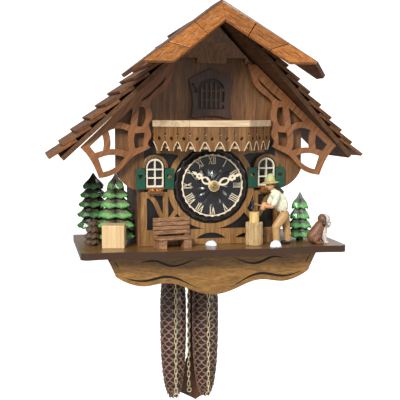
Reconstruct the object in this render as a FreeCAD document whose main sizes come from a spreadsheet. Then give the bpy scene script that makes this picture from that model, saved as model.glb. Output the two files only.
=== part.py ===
import FreeCAD, Part
import math
import os
from FreeCAD import Placement, Rotation, Vector

# Chalet cuckoo clock.  +X is to the right seen from the front, +Y goes into the wall,
# +Z is up.  The origin is the hook hole in the back, on the wall plane.
# Outlines are drawn from the dial centre, on the front face of the gable panel.

SIZES = (
    ("facade_y", -105.0),      # front face of the gable panel
    ("dial_z", -125.0),        # dial centre below the hook hole
    ("panel_thick", 6.0),      # gable panel, sides and back rail
    ("trim_thick", 4.0),       # jigsawn overlays
    ("case_half", 83.0),       # half width of the case, outside
    ("case_depth", 99.0),      # front face to the back edge of the sides
    ("roof_pitch", 43.4),      # main roof, degrees
    ("roof_half", 163.6),      # half width over the roof boards
    ("roof_thick", 5.0),
    ("eave_z", 29.0),          # underside of the roof boards at the eaves
    ("roof_back", 104.0),
    ("hood_pitch", 36.5),      # little roof behind the visor boards, degrees
    ("hood_top", 198.8),
    ("hood_thick", 4.0),
    ("shingle_step", 20.5),
    ("shingle_length", 36.0),
    ("shingle_thick", 3.6),
    ("shingle_lift", 6.85),
    ("stage_thick", 7.5),
    ("stage_bottom", -75.0),
    ("apron_thick", 4.0),
    ("hook_hole", 4.0),        # radius
    ("dial_radius", 34.5),
    ("gable_lean", 24.7),      # degrees
    ("wheel_left", -22.4),     # chain wheel arbors
    ("wheel_right", 17.6),
    ("wheel_z", 5.0),
    ("wheel_radius", 9.6),     # chain pitch line
    ("chain_y", 65.0),
    ("chain_bottom", -256.0),
    ("weight_travel", 120.0),
    ("pivot_z", 36.0),         # anchor and pendulum
    ("pendulum_y", 90.0),
    ("door_half", 14.6),
    ("door_sill", 85.6),
    ("bellows_x", 57.0),
)

doc = FreeCAD.newDocument("CuckooClock")
sheet = doc.addObject("Spreadsheet::Sheet", "Sizes")
for row, (alias, value) in enumerate(SIZES, start=1):
    sheet.set("A%d" % row, alias)
    sheet.set("B%d" % row, str(value))
    sheet.setAlias("B%d" % row, alias)
doc.recompute()


def size(alias):
    return float(sheet.get(alias))


FACADE_Y = size("facade_y")
DIAL_Z = size("dial_z")
PITCH = math.radians(size("roof_pitch"))
SLOPE = math.tan(PITCH)
PARTS = []


def place(x, y, z):
    """A point given from the dial centre, in the frame of the clock."""
    return Vector(x, FACADE_Y + y, DIAL_Z + z)


def under_roof(x):
    """Height of the underside of the roof boards above the dial centre."""
    return size("eave_z") + (size("roof_half") - abs(x)) * SLOPE


def wheel_x(side):
    return size("wheel_right") if side > 0 else size("wheel_left")


def strand_x(side, out):
    """Chain strand on one side (out is -1 or 1) of the left or right chain wheel."""
    return wheel_x(side) + out * size("wheel_radius")


def kept(feature, label):
    feature.Label = label
    PARTS.append(feature)
    return feature


def shaped(label, *solids):
    """A sub-part whose shape is made in code, from one or more solids."""
    feature = doc.addObject("Part::Feature", label)
    feature.Shape = solids[0] if len(solids) == 1 else Part.makeCompound(list(solids))
    return kept(feature, label)


def fused(solids):
    return solids[0].multiFuse(solids[1:]).removeSplitter()


# ---- outlines: a run of 2 points is a line, of 3 an arc, of more a smooth curve ----

def edge_of(points):
    vectors = [Vector(x, z, 0) for x, z in points]
    if len(vectors) == 2:
        return Part.LineSegment(vectors[0], vectors[1])
    if len(vectors) == 3:
        return Part.ArcOfCircle(vectors[0], vectors[1], vectors[2])
    curve = Part.BSplineCurve()
    curve.interpolate(vectors)
    return curve


def polygon(*points):
    return [[points[i], points[(i + 1) % len(points)]] for i in range(len(points))]


def mirrored(runs):
    return [[(-x, z) for x, z in run] for run in runs]


def both_sides(half):
    """A closed outline from its right half, drawn from the bottom up."""
    left = [[(-x, z) for x, z in reversed(run)] for run in reversed(half)]
    return half + left


def sketch_on(body, role, name, runs, circles=()):
    sketch = body.newObject("Sketcher::SketchObject", name)
    plane = [item for item in body.Origin.OriginFeatures if item.Role == role][0]
    sketch.AttachmentSupport = [(plane, "")]
    sketch.MapMode = "FlatFace"
    for run in runs:
        sketch.addGeometry(edge_of(run), False)
    for x, z, radius in circles:
        sketch.addGeometry(Part.Circle(Vector(x, z, 0), Vector(0, 0, 1), radius), False)
    return sketch


def plate(label, runs, thickness, y_back="0", circles=(), role="XZ_Plane", z_base=None):
    """A board cut from sheet.  An upright board grows forward from y_back."""
    body = doc.addObject("PartDesign::Body", label)
    sketch = sketch_on(body, role, label + "_outline", runs, circles)
    pad = body.newObject("PartDesign::Pad", label + "_board")
    pad.Profile = sketch
    pad.setExpression("Length", "Sizes." + thickness)
    body.Tip = pad
    body.setExpression("Placement.Base.y", "Sizes.facade_y + " + y_back)
    body.setExpression("Placement.Base.z", "Sizes.dial_z" + (" + " + z_base if z_base else ""))
    return kept(body, label)


def slab(runs, thickness, holes=()):
    """A loose flat solid in the XZ plane, growing towards the front."""
    def face(outline):
        curves = [edge_of(run).toShape() for run in outline]
        return Part.Face(Part.Wire(Part.__sortEdges__(curves)))
    flat = face(runs)
    for hole in holes:
        flat = flat.cut(face(hole))
    solid = flat.extrude(Vector(0, 0, thickness))
    solid.rotate(Vector(), Vector(1, 0, 0), 90)
    return solid


def box(x0, x1, y0, y1, z0, z1):
    return Part.makeBox(x1 - x0, y1 - y0, z1 - z0, place(x0, y0, z0))


def rod(start, end, radius):
    """A round bar between two points given from the dial centre."""
    first, last = place(*start), place(*end)
    return Part.makeCylinder(radius, (last - first).Length, first, last - first)


def ball(centre, radius):
    return Part.makeSphere(radius, place(*centre))


def ribbon(points, width):
    """A curved strip of even width along a smooth line of points."""
    curve = Part.BSplineCurve()
    curve.interpolate([Vector(x, z, 0) for x, z in points])
    first, last = curve.FirstParameter, curve.LastParameter
    stations = [first + (last - first) * i / 8 for i in range(9)]
    sides = []
    for sign in (1, -1):
        side = []
        for station in stations:
            tangent = curve.tangent(station)[0]
            across = Vector(-tangent.y, tangent.x, 0) * (sign * width / 2)
            point = curve.value(station) + across
            side.append((point.x, point.y))
        sides.append(side)
    upper, lower = sides
    return [upper, [upper[-1], lower[-1]], lower[::-1], [lower[0], upper[0]]]


# ---------------------------------------------------------------- the case ----

def case_side(label, side):
    """Side board, between the gable panel and the back."""
    y0, y1, z0, z1 = 6.0, size("case_depth"), -67.4, 104.5
    runs = polygon((y0, z0), (y1, z0), (y1, z1), (y0, z1))
    body = plate(label, runs, "panel_thick", role="YZ_Plane")
    inner = "Sizes.case_half - Sizes.panel_thick" if side > 0 else "-Sizes.case_half"
    body.setExpression("Placement.Base.x", inner)


def facade_panel():
    """Gable panel with the cuckoo's doorway and the hole for the hands' arbor."""
    half, flare = size("case_half"), 107.0
    outline = both_sides([
        [(half, -67.4), (half, -5)],
        [(half, -5), (flare - 8, 4), (flare, 16)],
        [(flare, 16), (flare, under_roof(flare) - 0.4)],
        [(flare, under_roof(flare) - 0.4), (0, under_roof(0) - 0.4)]])
    outline.append([(-half, -67.4), (half, -67.4)])
    doorway = [[(13, 87), (13, 107)], [(13, 107), (0, 116), (-13, 107)],
               [(-13, 107), (-13, 87)], [(-13, 87), (13, 87)]]
    plate("facade_panel", outline + doorway, "panel_thick", "Sizes.panel_thick",
          circles=[(0, 0, 5.0)])


def gable_boards():
    """Two boards that lean forward under the roof: the notched one and the attic one."""
    lean = size("gable_lean")
    notched = both_sides([
        [(0, 0), (16.6, 0)], [(16.6, 0), (16.6, 6.5)], [(16.6, 6.5), (38.3, 6.5)],
        [(38.3, 6.5), (38.3, 0)], [(38.3, 0), (46.5, 0)], [(46.5, 0), (0, 48)]])
    attic = polygon((-21, 26), (21, 26), (0, 47))
    boards = []
    for runs, forward in ((notched, 0.0), (attic, 5.2)):
        board = slab(runs, 5.0)
        board.translate(Vector(0, -forward, 0))
        board.rotate(Vector(), Vector(1, 0, 0), lean)
        board.translate(place(0, -1, 137.5))
        boards.append(board)
    shaped("gable_boards", *boards)


def back_rail():
    """Upper back board with the hook hole and a shallow recess for the turn button."""
    half = size("case_half")
    outline = both_sides([
        [(half, 60.6), (half, under_roof(half) - 0.6)],
        [(half, under_roof(half) - 0.6), (0, under_roof(0) - 0.6)]])
    outline.append([(-half, 60.6), (half, 60.6)])
    body = plate("back_rail", outline, "panel_thick", "105", circles=[])
    hole = sketch_on(body, "XZ_Plane", "hook_hole_outline", [])
    hole.addGeometry(Part.Circle(Vector(0, -DIAL_Z, 0), Vector(0, 0, 1), size("hook_hole")), False)
    recess = sketch_on(body, "XZ_Plane", "recess_outline",
                       polygon((-8, 60), (16, 60), (16, 76), (-8, 76)))
    for name, sketch, depth in (("hook_hole", hole, 6.0), ("button_recess", recess, 3.0)):
        doc.recompute()
        before = body.Shape.Volume
        pocket = body.newObject("PartDesign::Pocket", name + "_pocket")
        pocket.Profile = sketch
        pocket.Length = depth
        pocket.Reversed = True
        body.Tip = pocket
        doc.recompute()
        if body.Shape.Volume >= before:
            raise RuntimeError("%s cuts nothing" % name)


def back_door():
    """Thin back door with two butt hinges on the left edge."""
    pieces = []

    def add(kind, name, **values):
        piece = doc.addObject(kind, "back_door_" + name)
        for key, value in values.items():
            setattr(piece, key, value)
        pieces.append(piece)
        return piece

    panel = add("Part::Box", "panel", Width=3.0, Height=126.8)
    panel.setExpression("Length", "2 * Sizes.case_half")
    panel.setExpression("Placement.Base.x", "-Sizes.case_half")
    panel.setExpression("Placement.Base.y", "Sizes.facade_y + 99.3")
    panel.setExpression("Placement.Base.z", "Sizes.dial_z - 66.8")
    for number, z in enumerate((-42.0, 28.0)):
        leaf = add("Part::Box", "leaf%d" % number, Length=12.0, Width=0.9, Height=14.0)
        leaf.Placement.Base = place(-85, 102.3, z)
        knuckle = add("Part::Cylinder", "knuckle%d" % number, Radius=1.5, Height=14.0)
        knuckle.Placement.Base = place(-85, 103.2, z)
    door = doc.addObject("Part::MultiFuse", "back_door")
    door.Shapes = pieces
    kept(door, "back_door")


def back_door_latch():
    """Wooden turn button on one screw, parked level."""
    bar = box(-4, 14, 102.6, 104.6, 66, 70)
    screw = rod((0, 102.2, 68), (0, 104.9, 68), 2.2)
    shaped("back_door_latch", fused([bar, screw]))


# ---------------------------------------------------------- stage and apron ----

def base_platform():
    """Stage board: wavy front edge, chain holes and the pendulum slot."""
    front = [(0, -44.5), (30, -44), (56, -46), (86, -42), (118, -39.5), (138, -42)]
    right = [front, [(138, -42), (146.5, -40), (149, -33)], [(149, -33), (149, 105)]]
    outline = both_sides(right)
    outline.append([(149, 105), (-149, 105)])
    slot = polygon((-17, 84.5), (17, 84.5), (17, 95.5), (-17, 95.5))
    holes = [(strand_x(side, out), size("chain_y"), 4.5) for side in (-1, 1) for out in (-1, 1)]
    plate("base_platform", outline + slot, "stage_thick", circles=holes, role="XY_Plane",
          z_base="Sizes.stage_bottom")


def leaf_slot(centres, widest):
    """A slot with pointed ends along a wave, widest in the middle."""
    count = len(centres) - 1
    upper, lower = [], []
    for index, (x, z) in enumerate(centres):
        half = widest / 2 * math.sin(math.pi * index / count)
        upper.append((x, z + half))
        lower.append((x, z - half))
    return [upper, lower]


def apron_board():
    """Apron under the stage, with three carved grooves each side."""
    half = [[(0, -121.5), (14, -119.5), (30, -113.5), (46, -107.6), (57, -106.6), (79, -109.3),
             (97, -105), (110, -97.5)],
            [(110, -97.5), (114.5, -87), (120.5, -75.2)]]
    outline = both_sides(half)
    outline.append([(-120.5, -75.2), (120.5, -75.2)])
    waves = (([(15.5, -114.5), (30, -108), (42, -102), (54, -99.5), (66, -101), (79, -103.2),
               (92, -101.5), (103, -97.6)], 3.0),
             ([(20, -79.5), (32, -84.5), (44, -87.5), (54, -86), (64, -81.8), (74, -81),
               (83, -83.8)], 2.8),
             ([(113, -79.5), (109, -84), (107, -89), (106.8, -94)], 2.2))
    grooves = []
    for centres, widest in waves:
        pair = leaf_slot(centres, widest)
        grooves += pair + mirrored(pair)
    body = plate("apron_board", outline, "apron_thick", "(-18)")
    doc.recompute()
    before = body.Shape.Volume
    sketch = sketch_on(body, "XZ_Plane", "groove_outlines", grooves)
    sketch.AttachmentOffset = Placement(Vector(0, 0, size("apron_thick")), Rotation())
    carved = body.newObject("PartDesign::Pocket", "carved_grooves")
    carved.Profile = sketch
    carved.Length = 2.6
    body.Tip = carved
    doc.recompute()
    if body.Shape.Volume >= before:
        raise RuntimeError("the apron grooves cut nothing")


# ------------------------------------------------------------------ roofs ----

def roof_turn(side):
    return Rotation(Vector(0, 1, 0), side * size("roof_pitch"))


def roof_front(u):
    """Front edge of the main roof, which comes forward as it rises."""
    eave_u = size("roof_half") / math.cos(PITCH)
    return -5 - 0.316 * (eave_u - u) if u > 70 else -5 - 0.316 * (eave_u - 70)


def hood_back(u):
    """Where a course near the ridge starts, just behind the hood."""
    return -11 - 0.314 * u


def roof_board(label, side):
    """Main roof board, drawn flat: across the slope, then from front to back."""
    eave_u = size("roof_half") / math.cos(PITCH)
    back = size("roof_back")
    points = [(0, -50), (70, roof_front(70)), (eave_u, -5), (eave_u, back), (0, back)]
    runs = polygon(*[(side * u, y) for u, y in points])
    body = plate(label, runs, "roof_thick", role="XY_Plane")
    body.setExpression("Placement.Base.z", None)
    body.Placement = Placement(place(0, 0, under_roof(0)), roof_turn(side))
    body.setExpression("Placement.Base.y", "Sizes.facade_y")


def shingles(label, side):
    """Courses of shingles, each resting on the one below and kicked up at its lower edge."""
    step, length = size("shingle_step"), size("shingle_length")
    thick, lift = size("shingle_thick"), size("shingle_lift")
    lowest = size("roof_half") / math.cos(PITCH) + 10.3
    tilt = math.degrees(math.asin(lift / length))
    back = size("roof_back")
    right_half = Part.makeBox(400, 800, 800, Vector(0.3, -600, -400))
    courses = []
    for course in range(11):
        low = lowest - step * course
        high = low - length
        front_low, front_high = roof_front(min(low, 225)) + 0.5, roof_front(high) + 0.5
        if course > 8:
            front_low, front_high = hood_back(low), hood_back(max(high, 0))
        corners = [(0, front_high), (length, front_low), (length, back), (0, back)]
        wire = Part.makePolygon([Vector(u, y, 0) for u, y in corners + corners[:1]])
        strip = Part.Face(wire).extrude(Vector(0, 0, thick))
        strip.rotate(Vector(), Vector(0, 1, 0), -tilt)
        strip.translate(Vector(high, 0, size("roof_thick") + 0.1))
        strip.Placement = Placement(place(0, 0, under_roof(0)), roof_turn(1)).multiply(strip.Placement)
        strip = strip.common(right_half)
        if side < 0:
            strip = strip.mirror(Vector(), Vector(1, 0, 0))
        courses += strip.Solids
    shaped(label, *courses)


VISOR_IN_TOP = (0.0, -75.0, 176.5)
VISOR_OUT_TOP = (0.0, -58.0, 196.5)
VISOR_IN_LOW = (59.5, -107.0, 131.6)
VISOR_OUT_LOW = (89.4, 0.0, 132.0)


def visor_solid():
    """Right visor board: a flat board leaning back, mitred at the ridge."""
    a, b, c = (place(*p) for p in (VISOR_IN_TOP, VISOR_OUT_TOP, VISOR_IN_LOW))
    normal = (b - a).cross(c - a).normalize()
    if normal.y > 0:
        normal = normal.negative()
    d = place(*VISOR_OUT_LOW)
    d.y = a.y - (normal.x * (d.x - a.x) + normal.z * (d.z - a.z)) / normal.y
    board = Part.Face(Part.makePolygon([a, c, d, b, a])).extrude(normal * -size("hood_thick"))
    right_half = Part.makeBox(400, 800, 800, Vector(0.05, -600, -400))
    return board.common(right_half)


def visor_board(label, side):
    board = visor_solid()
    shaped(label, board if side > 0 else board.mirror(Vector(), Vector(1, 0, 0)))


def upper_roof():
    """The small roof behind the visor, two short slabs that meet at the ridge."""
    fall = math.tan(math.radians(size("hood_pitch")))
    corners = [(0, -58), (89.4, -103.5), (106.5, -79), (106.5, -58), (0, -12)]
    points = [place(x, y, size("hood_top") - fall * x) for x, y in corners]
    normal = Vector(fall, 0, 1).normalize()
    top = Part.Face(Part.makePolygon(points + points[:1]))
    slab_right = top.extrude(normal * -size("hood_thick"))
    right_half = Part.makeBox(400, 800, 800, Vector(0.05, -600, -400))
    slab_right = slab_right.common(right_half).cut(visor_solid())
    slab_right = max(slab_right.Solids, key=lambda solid: solid.Volume)
    slab_left = slab_right.mirror(Vector(), Vector(1, 0, 0))
    shaped("upper_roof", slab_right, slab_left)


def fretwork(label, side):
    """Jigsawn bracket between the wall and the eaves, cut like timber framing."""
    outline = [
        [(126, 10), (131, 22.5), (135, 30), (146, 43.5)],
        [(146, 43.5), (50, 134.5)], [(50, 134.5), (41, 134.5)],
        [(41, 134.5), (43.5, 125.5), (46, 118.5), (48, 112.5), (53, 106.5), (62, 99.5), (68, 94.5),
         (69.5, 90), (68, 82), (68.5, 72)],
        [(68.5, 72), (71, 69), (70, 63), (69, 54.5), (72, 49), (69.5, 43)],
        [(69.5, 43), (80.5, 37.5), (89, 33), (97.5, 24.5), (106, 16.5), (114.5, 12.3), (126, 10)]]
    holes = [
        [[(126.5, 31.5), (114, 35), (98, 32.5)], [(98, 32.5), (110, 20.5), (121.5, 16.5)],
         [(121.5, 16.5), (126.5, 31.5)]],
        [[(135.5, 44.5), (122, 57)], [(122, 57), (120.4, 49), (121.5, 40)],
         [(121.5, 40), (130, 37.5)], [(130, 37.5), (135.5, 44.5)]],
        [[(115.5, 61), (105.5, 64), (93.5, 60.5)], [(93.5, 60.5), (94.4, 50), (92.5, 38)],
         [(92.5, 38), (103, 41), (114, 41.5)], [(114, 41.5), (113.2, 51), (115.5, 61)]],
        [[(86.5, 58.5), (75.5, 59.5)], [(75.5, 59.5), (76.8, 52), (77, 44.5)],
         [(77, 44.5), (86, 42)], [(86, 42), (87.6, 50.5), (86.5, 58.5)]],
        [[(106.5, 70.5), (98.5, 70), (91.5, 67)], [(91.5, 67), (88.5, 87)], [(88.5, 87), (106.5, 70.5)]],
        [[(81.5, 87.5), (76, 87)], [(76, 87), (74.5, 77), (78.5, 66)], [(78.5, 66), (84, 66)],
         [(84, 66), (81.5, 87.5)]],
        [[(80.5, 94), (73, 100), (63, 108.5), (52, 120)],
         [(52, 120), (55, 113.5), (63.5, 105.5), (74.5, 95.5), (80.5, 94)]]]
    runs = outline + [run for hole in holes for run in hole]
    plate(label, runs if side > 0 else mirrored(runs), "trim_thick", "(-6)")


# --------------------------------------------------------- front dressing ----

def timber_framing():
    """Oak overlay on the dark panel: posts, braces, a sill and the ring round the dial."""
    thick = size("trim_thick")
    lens = [[(-17, -60.5), (0, -54), (17, -60.5)], [(-17, -60.5), (17, -60.5)]]
    side_lens = [[(28, -60.5), (46, -54.5), (64, -60.5)], [(28, -60.5), (64, -60.5)]]
    sill = slab(polygon((-80, -67.2), (80, -67.2), (80, -49.5), (-80, -49.5)), thick,
                [lens, side_lens, mirrored(side_lens)])
    pieces = [sill]
    strips = (
        ([(76.5, -50), (76.5, -40), (76.5, -20), (76.5, -7)], 7.0),
        ([(52, -50), (52, -40), (52, -20), (52, -7)], 6.0),
        ([(77, -11), (68, -13), (62, -22), (57, -33), (51, -38), (43, -33), (39, -27)], 5.0),
        ([(80, -9), (70, -9), (60, -9), (44, -11)], 4.5),
        ([(52, 38), (42, 38), (33, 35), (30, 34)], 6.0),
        ([(62, 38.2), (50, 38), (40, 38), (20, 43.5)], 4.0))
    for points, width in strips:
        right = slab(ribbon(points, width), thick)
        pieces += [right, right.mirror(Vector(), Vector(1, 0, 0))]
    outer = Part.makeCylinder(50, thick, Vector(), Vector(0, -1, 0))
    pieces.append(outer)
    frame = fused(pieces)
    frame = frame.cut(Part.makeCylinder(43.6, thick, Vector(), Vector(0, -1, 0)))
    frame.translate(place(0, 0, 0))
    shaped("timber_framing", frame)


def dial_surround():
    """Dark scalloped board behind the dial."""
    points = []
    for step in range(72):
        angle = 2 * math.pi * step / 72
        radius = 42.2 + 1.0 * math.cos(18 * angle)
        points.append(Vector(radius * math.cos(angle), radius * math.sin(angle), 0))
    curve = Part.BSplineCurve()
    curve.interpolate(points, True)
    board = Part.Face(Part.Wire([curve.toShape()])).extrude(Vector(0, 0, 4))
    board.rotate(Vector(), Vector(1, 0, 0), 90)
    board = board.cut(Part.makeCylinder(4, 20, Vector(0, 1, 0), Vector(0, -1, 0)))
    board.translate(place(0, -0.1, 0))
    shaped("dial_surround", board)


def dial_disc():
    """Turned dial, dished towards its raised boss."""
    edge = size("dial_radius")
    body = doc.addObject("PartDesign::Body", "dial_disc")
    profile = [[(3, 0), (edge, 0)], [(edge, 0), (edge, 3.5)], [(edge, 3.5), (edge - 3, 5)],
               [(edge - 3, 5), (22, 3), (12, 4.5)], [(12, 4.5), (7, 6.5), (3, 7)], [(3, 7), (3, 0)]]
    sketch = sketch_on(body, "XY_Plane", "dial_profile", profile)
    turned = body.newObject("PartDesign::Revolution", "dial_turning")
    turned.Profile = sketch
    turned.ReferenceAxis = (sketch, ["V_Axis"])
    turned.Angle = 360.0
    body.Tip = turned
    body.Placement = Placement(place(0, -4.3, 0), Rotation(Vector(0, 0, 1), 180))
    kept(body, "dial_disc")


ROMAN = ("XII", "I", "II", "III", "IIII", "V", "VI", "VII", "VIII", "IX", "X", "XI")


def numeral(text, hour):
    """Cream strokes of one Roman numeral, standing on the dial towards the rim."""
    low, high, stroke = 24.5, 31.6, 1.1
    widths = {"I": 2.1, "V": 4.4, "X": 4.4}
    total = sum(widths[letter] for letter in text)
    left = -total / 2
    bars = []
    for letter in text:
        width = widths[letter]
        centre = left + width / 2
        lean = {"I": (0,), "V": (-1, 1), "X": (-1, 1)}[letter]
        for sign in lean:
            foot = centre if letter != "X" else centre - sign * (width / 2 - 0.7)
            head = centre + sign * (width / 2 - 0.7) if letter != "I" else centre
            bars.append(slab(polygon((foot - stroke / 2, low), (foot + stroke / 2, low),
                                     (head + stroke / 2, high), (head - stroke / 2, high)), 1.2))
        left += width
    shape = fused(bars) if len(bars) > 1 else bars[0]
    shape.translate(Vector(0, -9.9, 0))
    shape.rotate(Vector(), Vector(0, 1, 0), 30 * hour)
    shape.translate(place(0, 0, 0))
    return shape


def chapter_ring():
    """Faceted ring and the twelve Roman numerals, all in cream."""
    outer, inner, facets = 35.4, 32.6, 24
    ring_points = [(outer * math.cos(2 * math.pi * i / facets), outer * math.sin(2 * math.pi * i / facets))
                   for i in range(facets)]
    ring = slab(polygon(*ring_points), 1.6)
    ring = ring.cut(Part.makeCylinder(inner, 10, Vector(0, 5, 0), Vector(0, -1, 0)))
    ring.translate(place(0, -9.6, 0))
    numerals = [numeral(text, hour) for hour, text in enumerate(ROMAN)]
    solids = [solid for shape in numerals for solid in shape.Solids]
    shaped("chapter_ring", ring, *solids)


def hand(label, length, front, angle, bore, pipe):
    """A pierced hand: a disc on its pipe, an eye, a narrow waist and a pointed tip."""
    eye, pierced = length * 0.42, length * 0.7
    blade = [
        [(2, 4), (2, 6), (4.2, eye - 2), (4.0, eye + 2), (1.4, eye + 6)],
        [(1.4, eye + 6), (3.6, pierced), (1.1, pierced + 5)],
        [(1.1, pierced + 5), (0, length)]]
    left = [[(-x, z) for x, z in reversed(run)] for run in reversed(blade)]
    outline = blade + left + [[(-2, 4), (2, 4)]]
    piercing = [[(0, eye - 4), (1.8, eye), (0, eye + 4)], [(0, eye + 4), (-1.8, eye), (0, eye - 4)]]
    shape = slab(outline, 1.2, [piercing])
    disc = Part.makeCylinder(6, 1.2, Vector(), Vector(0, -1, 0))
    shape = fused([shape, disc])
    if pipe:
        tube = Part.makeCylinder(2.4, pipe, Vector(0, pipe, 0), Vector(0, -1, 0))
        shape = fused([shape, tube])
    shape = shape.cut(Part.makeCylinder(bore, pipe + 10, Vector(0, pipe + 1, 0), Vector(0, -1, 0)))
    shape.rotate(Vector(), Vector(0, 1, 0), angle)
    shape.translate(place(0, front, 0))
    shaped(label, shape)


def hand_nut():
    """Brass nut that keeps the hands on."""
    hexagon = [(3.2 * math.cos(math.pi / 3 * i), 3.2 * math.sin(math.pi / 3 * i)) for i in range(6)]
    nut = slab(polygon(*hexagon), 2.2)
    nut.translate(place(0, -20.4, 0))
    dome = Part.makeCone(2.4, 1.2, 1.4, place(0, -22.6, 0), Vector(0, -1, 0))
    shaped("hand_nut", fused([nut, dome]).cut(rod((0, 30, 0), (0, -21.9, 0), 1.2)))


def heart(x, z):
    left = Part.makeCylinder(1.5, 20, place(x - 1.2, 2, z), Vector(0, -1, 0))
    right = Part.makeCylinder(1.5, 20, place(x + 1.2, 2, z), Vector(0, -1, 0))
    point = slab(polygon((x - 2.5, z - 0.7), (x + 2.5, z - 0.7), (x, z - 4.4)), 20)
    point.translate(place(0, 2, 0))
    return [left, right, point]


def windows():
    """Two arched windows: cream frame and bars, brown hood, sill and pierced shutters."""
    pieces = []
    for side in (-1, 1):
        cx = side * 64.0
        frame = [[(cx + 9.6, -1.5), (cx + 9.6, 20)], [(cx + 9.6, 20), (cx, 30.6), (cx - 9.6, 20)],
                 [(cx - 9.6, 20), (cx - 9.6, -1.5)], [(cx - 9.6, -1.5), (cx + 9.6, -1.5)]]
        panes = []
        for left, right in ((-8.2, -0.8), (0.8, 8.2)):
            for low, high in ((0.6, 8.2), (9.8, 17.6)):
                panes.append(polygon((cx + left, low), (cx + right, low), (cx + right, high), (cx + left, high)))
            outer, inner = (left, right) if left < 0 else (right, left)
            panes.append([[(cx + outer, 19.2), (cx + inner, 19.2)], [(cx + inner, 19.2), (cx + inner, 28.3)],
                          [(cx + inner, 28.3), (cx + outer * 0.62, 26.6), (cx + outer, 21.6)],
                          [(cx + outer, 21.6), (cx + outer, 19.2)]])
        pieces.append(slab(frame, 6.0, panes))
        hood = [[(cx + 14.6, 20), (cx, 34.8), (cx - 14.6, 20)], [(cx - 14.6, 20), (cx - 10.8, 20)],
                [(cx - 10.8, 20), (cx, 31.4), (cx + 10.8, 20)], [(cx + 10.8, 20), (cx + 14.6, 20)]]
        pieces.append(slab(hood, 7.4))
        sill = polygon((cx - 10.6, -3.6), (cx + 10.6, -3.6), (cx + 10.6, -1.6), (cx - 10.6, -1.6))
        pieces.append(slab(sill, 6.6))
        for piece in pieces[-3:]:
            piece.translate(place(0, -0.1, 0))
        for leaf in (-1, 1):
            x0 = cx + leaf * 16.2
            shutter = slab(polygon((x0 - 5.2, -3.4), (x0 + 5.2, -3.4), (x0 + 5.2, 19.5), (x0 - 5.2, 19.5)), 1.8)
            shutter.translate(place(0, -4.1, 0))
            pieces.append(shutter.cut(fused(heart(x0, 11.5))))
    shaped("windows", *pieces)


def flower_boxes():
    """A planter with blossom under each window."""
    pieces = []
    for side in (-1, 1):
        cx = side * 64.0
        trough = box(cx - 9, cx + 9, -9.6, -4.1, -9.2, -5.4)
        blossom = [ball((cx - 7.2 + 2.9 * i, -8.9, -5.2), 2.0) for i in range(6)]
        pieces.append(fused([trough] + blossom))
    shaped("flower_boxes", *pieces)


# ---------------------------------------------------------------- balcony ----

BALCONY = ((-66.5, -10.2), (-32.6, -48.0), (32.6, -48.0), (66.5, -10.2))


def along(first, last, solid):
    """Turn a solid drawn along +X from the origin so that it runs between two plan points."""
    angle = math.degrees(math.atan2(last[1] - first[1], last[0] - first[0]))
    solid.rotate(Vector(), Vector(0, 0, 1), angle)
    solid.translate(place(first[0], first[1], 0))
    return solid


def balcony_sections():
    for first, last in zip(BALCONY, BALCONY[1:]):
        yield first, last, math.hypot(last[0] - first[0], last[1] - first[1])


def balcony_frame():
    """Balcony floor and the light hand rail round its three sides."""
    plan = [place(x, y, 42) for x, y in ((-62, -5.2), (-31.0, -44.2), (31.0, -44.2), (62, -5.2))]
    floor = Part.Face(Part.makePolygon(plan + plan[:1])).extrude(Vector(0, 0, 3))
    rails = []
    for first, last, length in balcony_sections():
        rail = Part.makeBox(length, 4.0, 6.8, Vector(0, -1.0, 66.0))
        rails.append(along(first, last, rail))
    shaped("balcony_frame", floor, fused(rails))


def balcony_balusters():
    """Three jigsawn fronts: baluster shapes with ogee arches and star holes."""
    pieces = []
    for first, last, length in balcony_sections():
        count = round(length / 16.0)
        pitch = length / count
        board = slab(polygon((0.4, 39.8), (length - 0.4, 39.8), (length - 0.4, 65.9), (0.4, 65.9)), 3.0)
        board.translate(Vector(0, 3.0, 0))
        cutters = []
        for index in range(count + 1):
            x = pitch * index
            arch = [[(x - 5.2, 39), (x - 3.6, 43.5), (x, 49.5)], [(x, 49.5), (x + 3.6, 43.5), (x + 5.2, 39)],
                    [(x + 5.2, 39), (x - 5.2, 39)]]
            arch = slab(arch, 8)
            arch.translate(Vector(0, 6, 0))
            cutters.append(arch)
            cutters.append(Part.makeCylinder(1.5, 10, Vector(x, 6, 58), Vector(0, -1, 0)))
        for index in range(count):
            x = pitch * (index + 0.5)
            star = slab(polygon((x - 2.6, 53), (x, 50), (x + 2.6, 53), (x, 56)), 8)
            star.translate(Vector(0, 6, 0))
            cutters.append(star)
        board = board.cut(Part.makeCompound(cutters))
        pieces.append(along(first, last, max(board.Solids, key=lambda solid: solid.Volume)))
    shaped("balcony_balusters", *pieces)


# ----------------------------------------------------------- cuckoo's door ----

def cuckoo_door_frame():
    """Shaped frame round the cuckoo's door."""
    half = size("door_half") + 0.5
    sill = size("door_sill") - 0.5
    outer = both_sides([
        [(0, 77.5), (9, 77), (17, 75)], [(17, 75), (22.5, 76)], [(22.5, 76), (21, 95), (25, 116.5)],
        [(25, 116.5), (20, 121)], [(20, 121), (0, 130)]])
    opening = [[(half, sill), (half, 108)], [(half, 108), (0, 119), (-half, 108)],
               [(-half, 108), (-half, sill)], [(-half, sill), (half, sill)]]
    plate("cuckoo_door_frame", outer + opening, "trim_thick", "(-0.1)")


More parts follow.
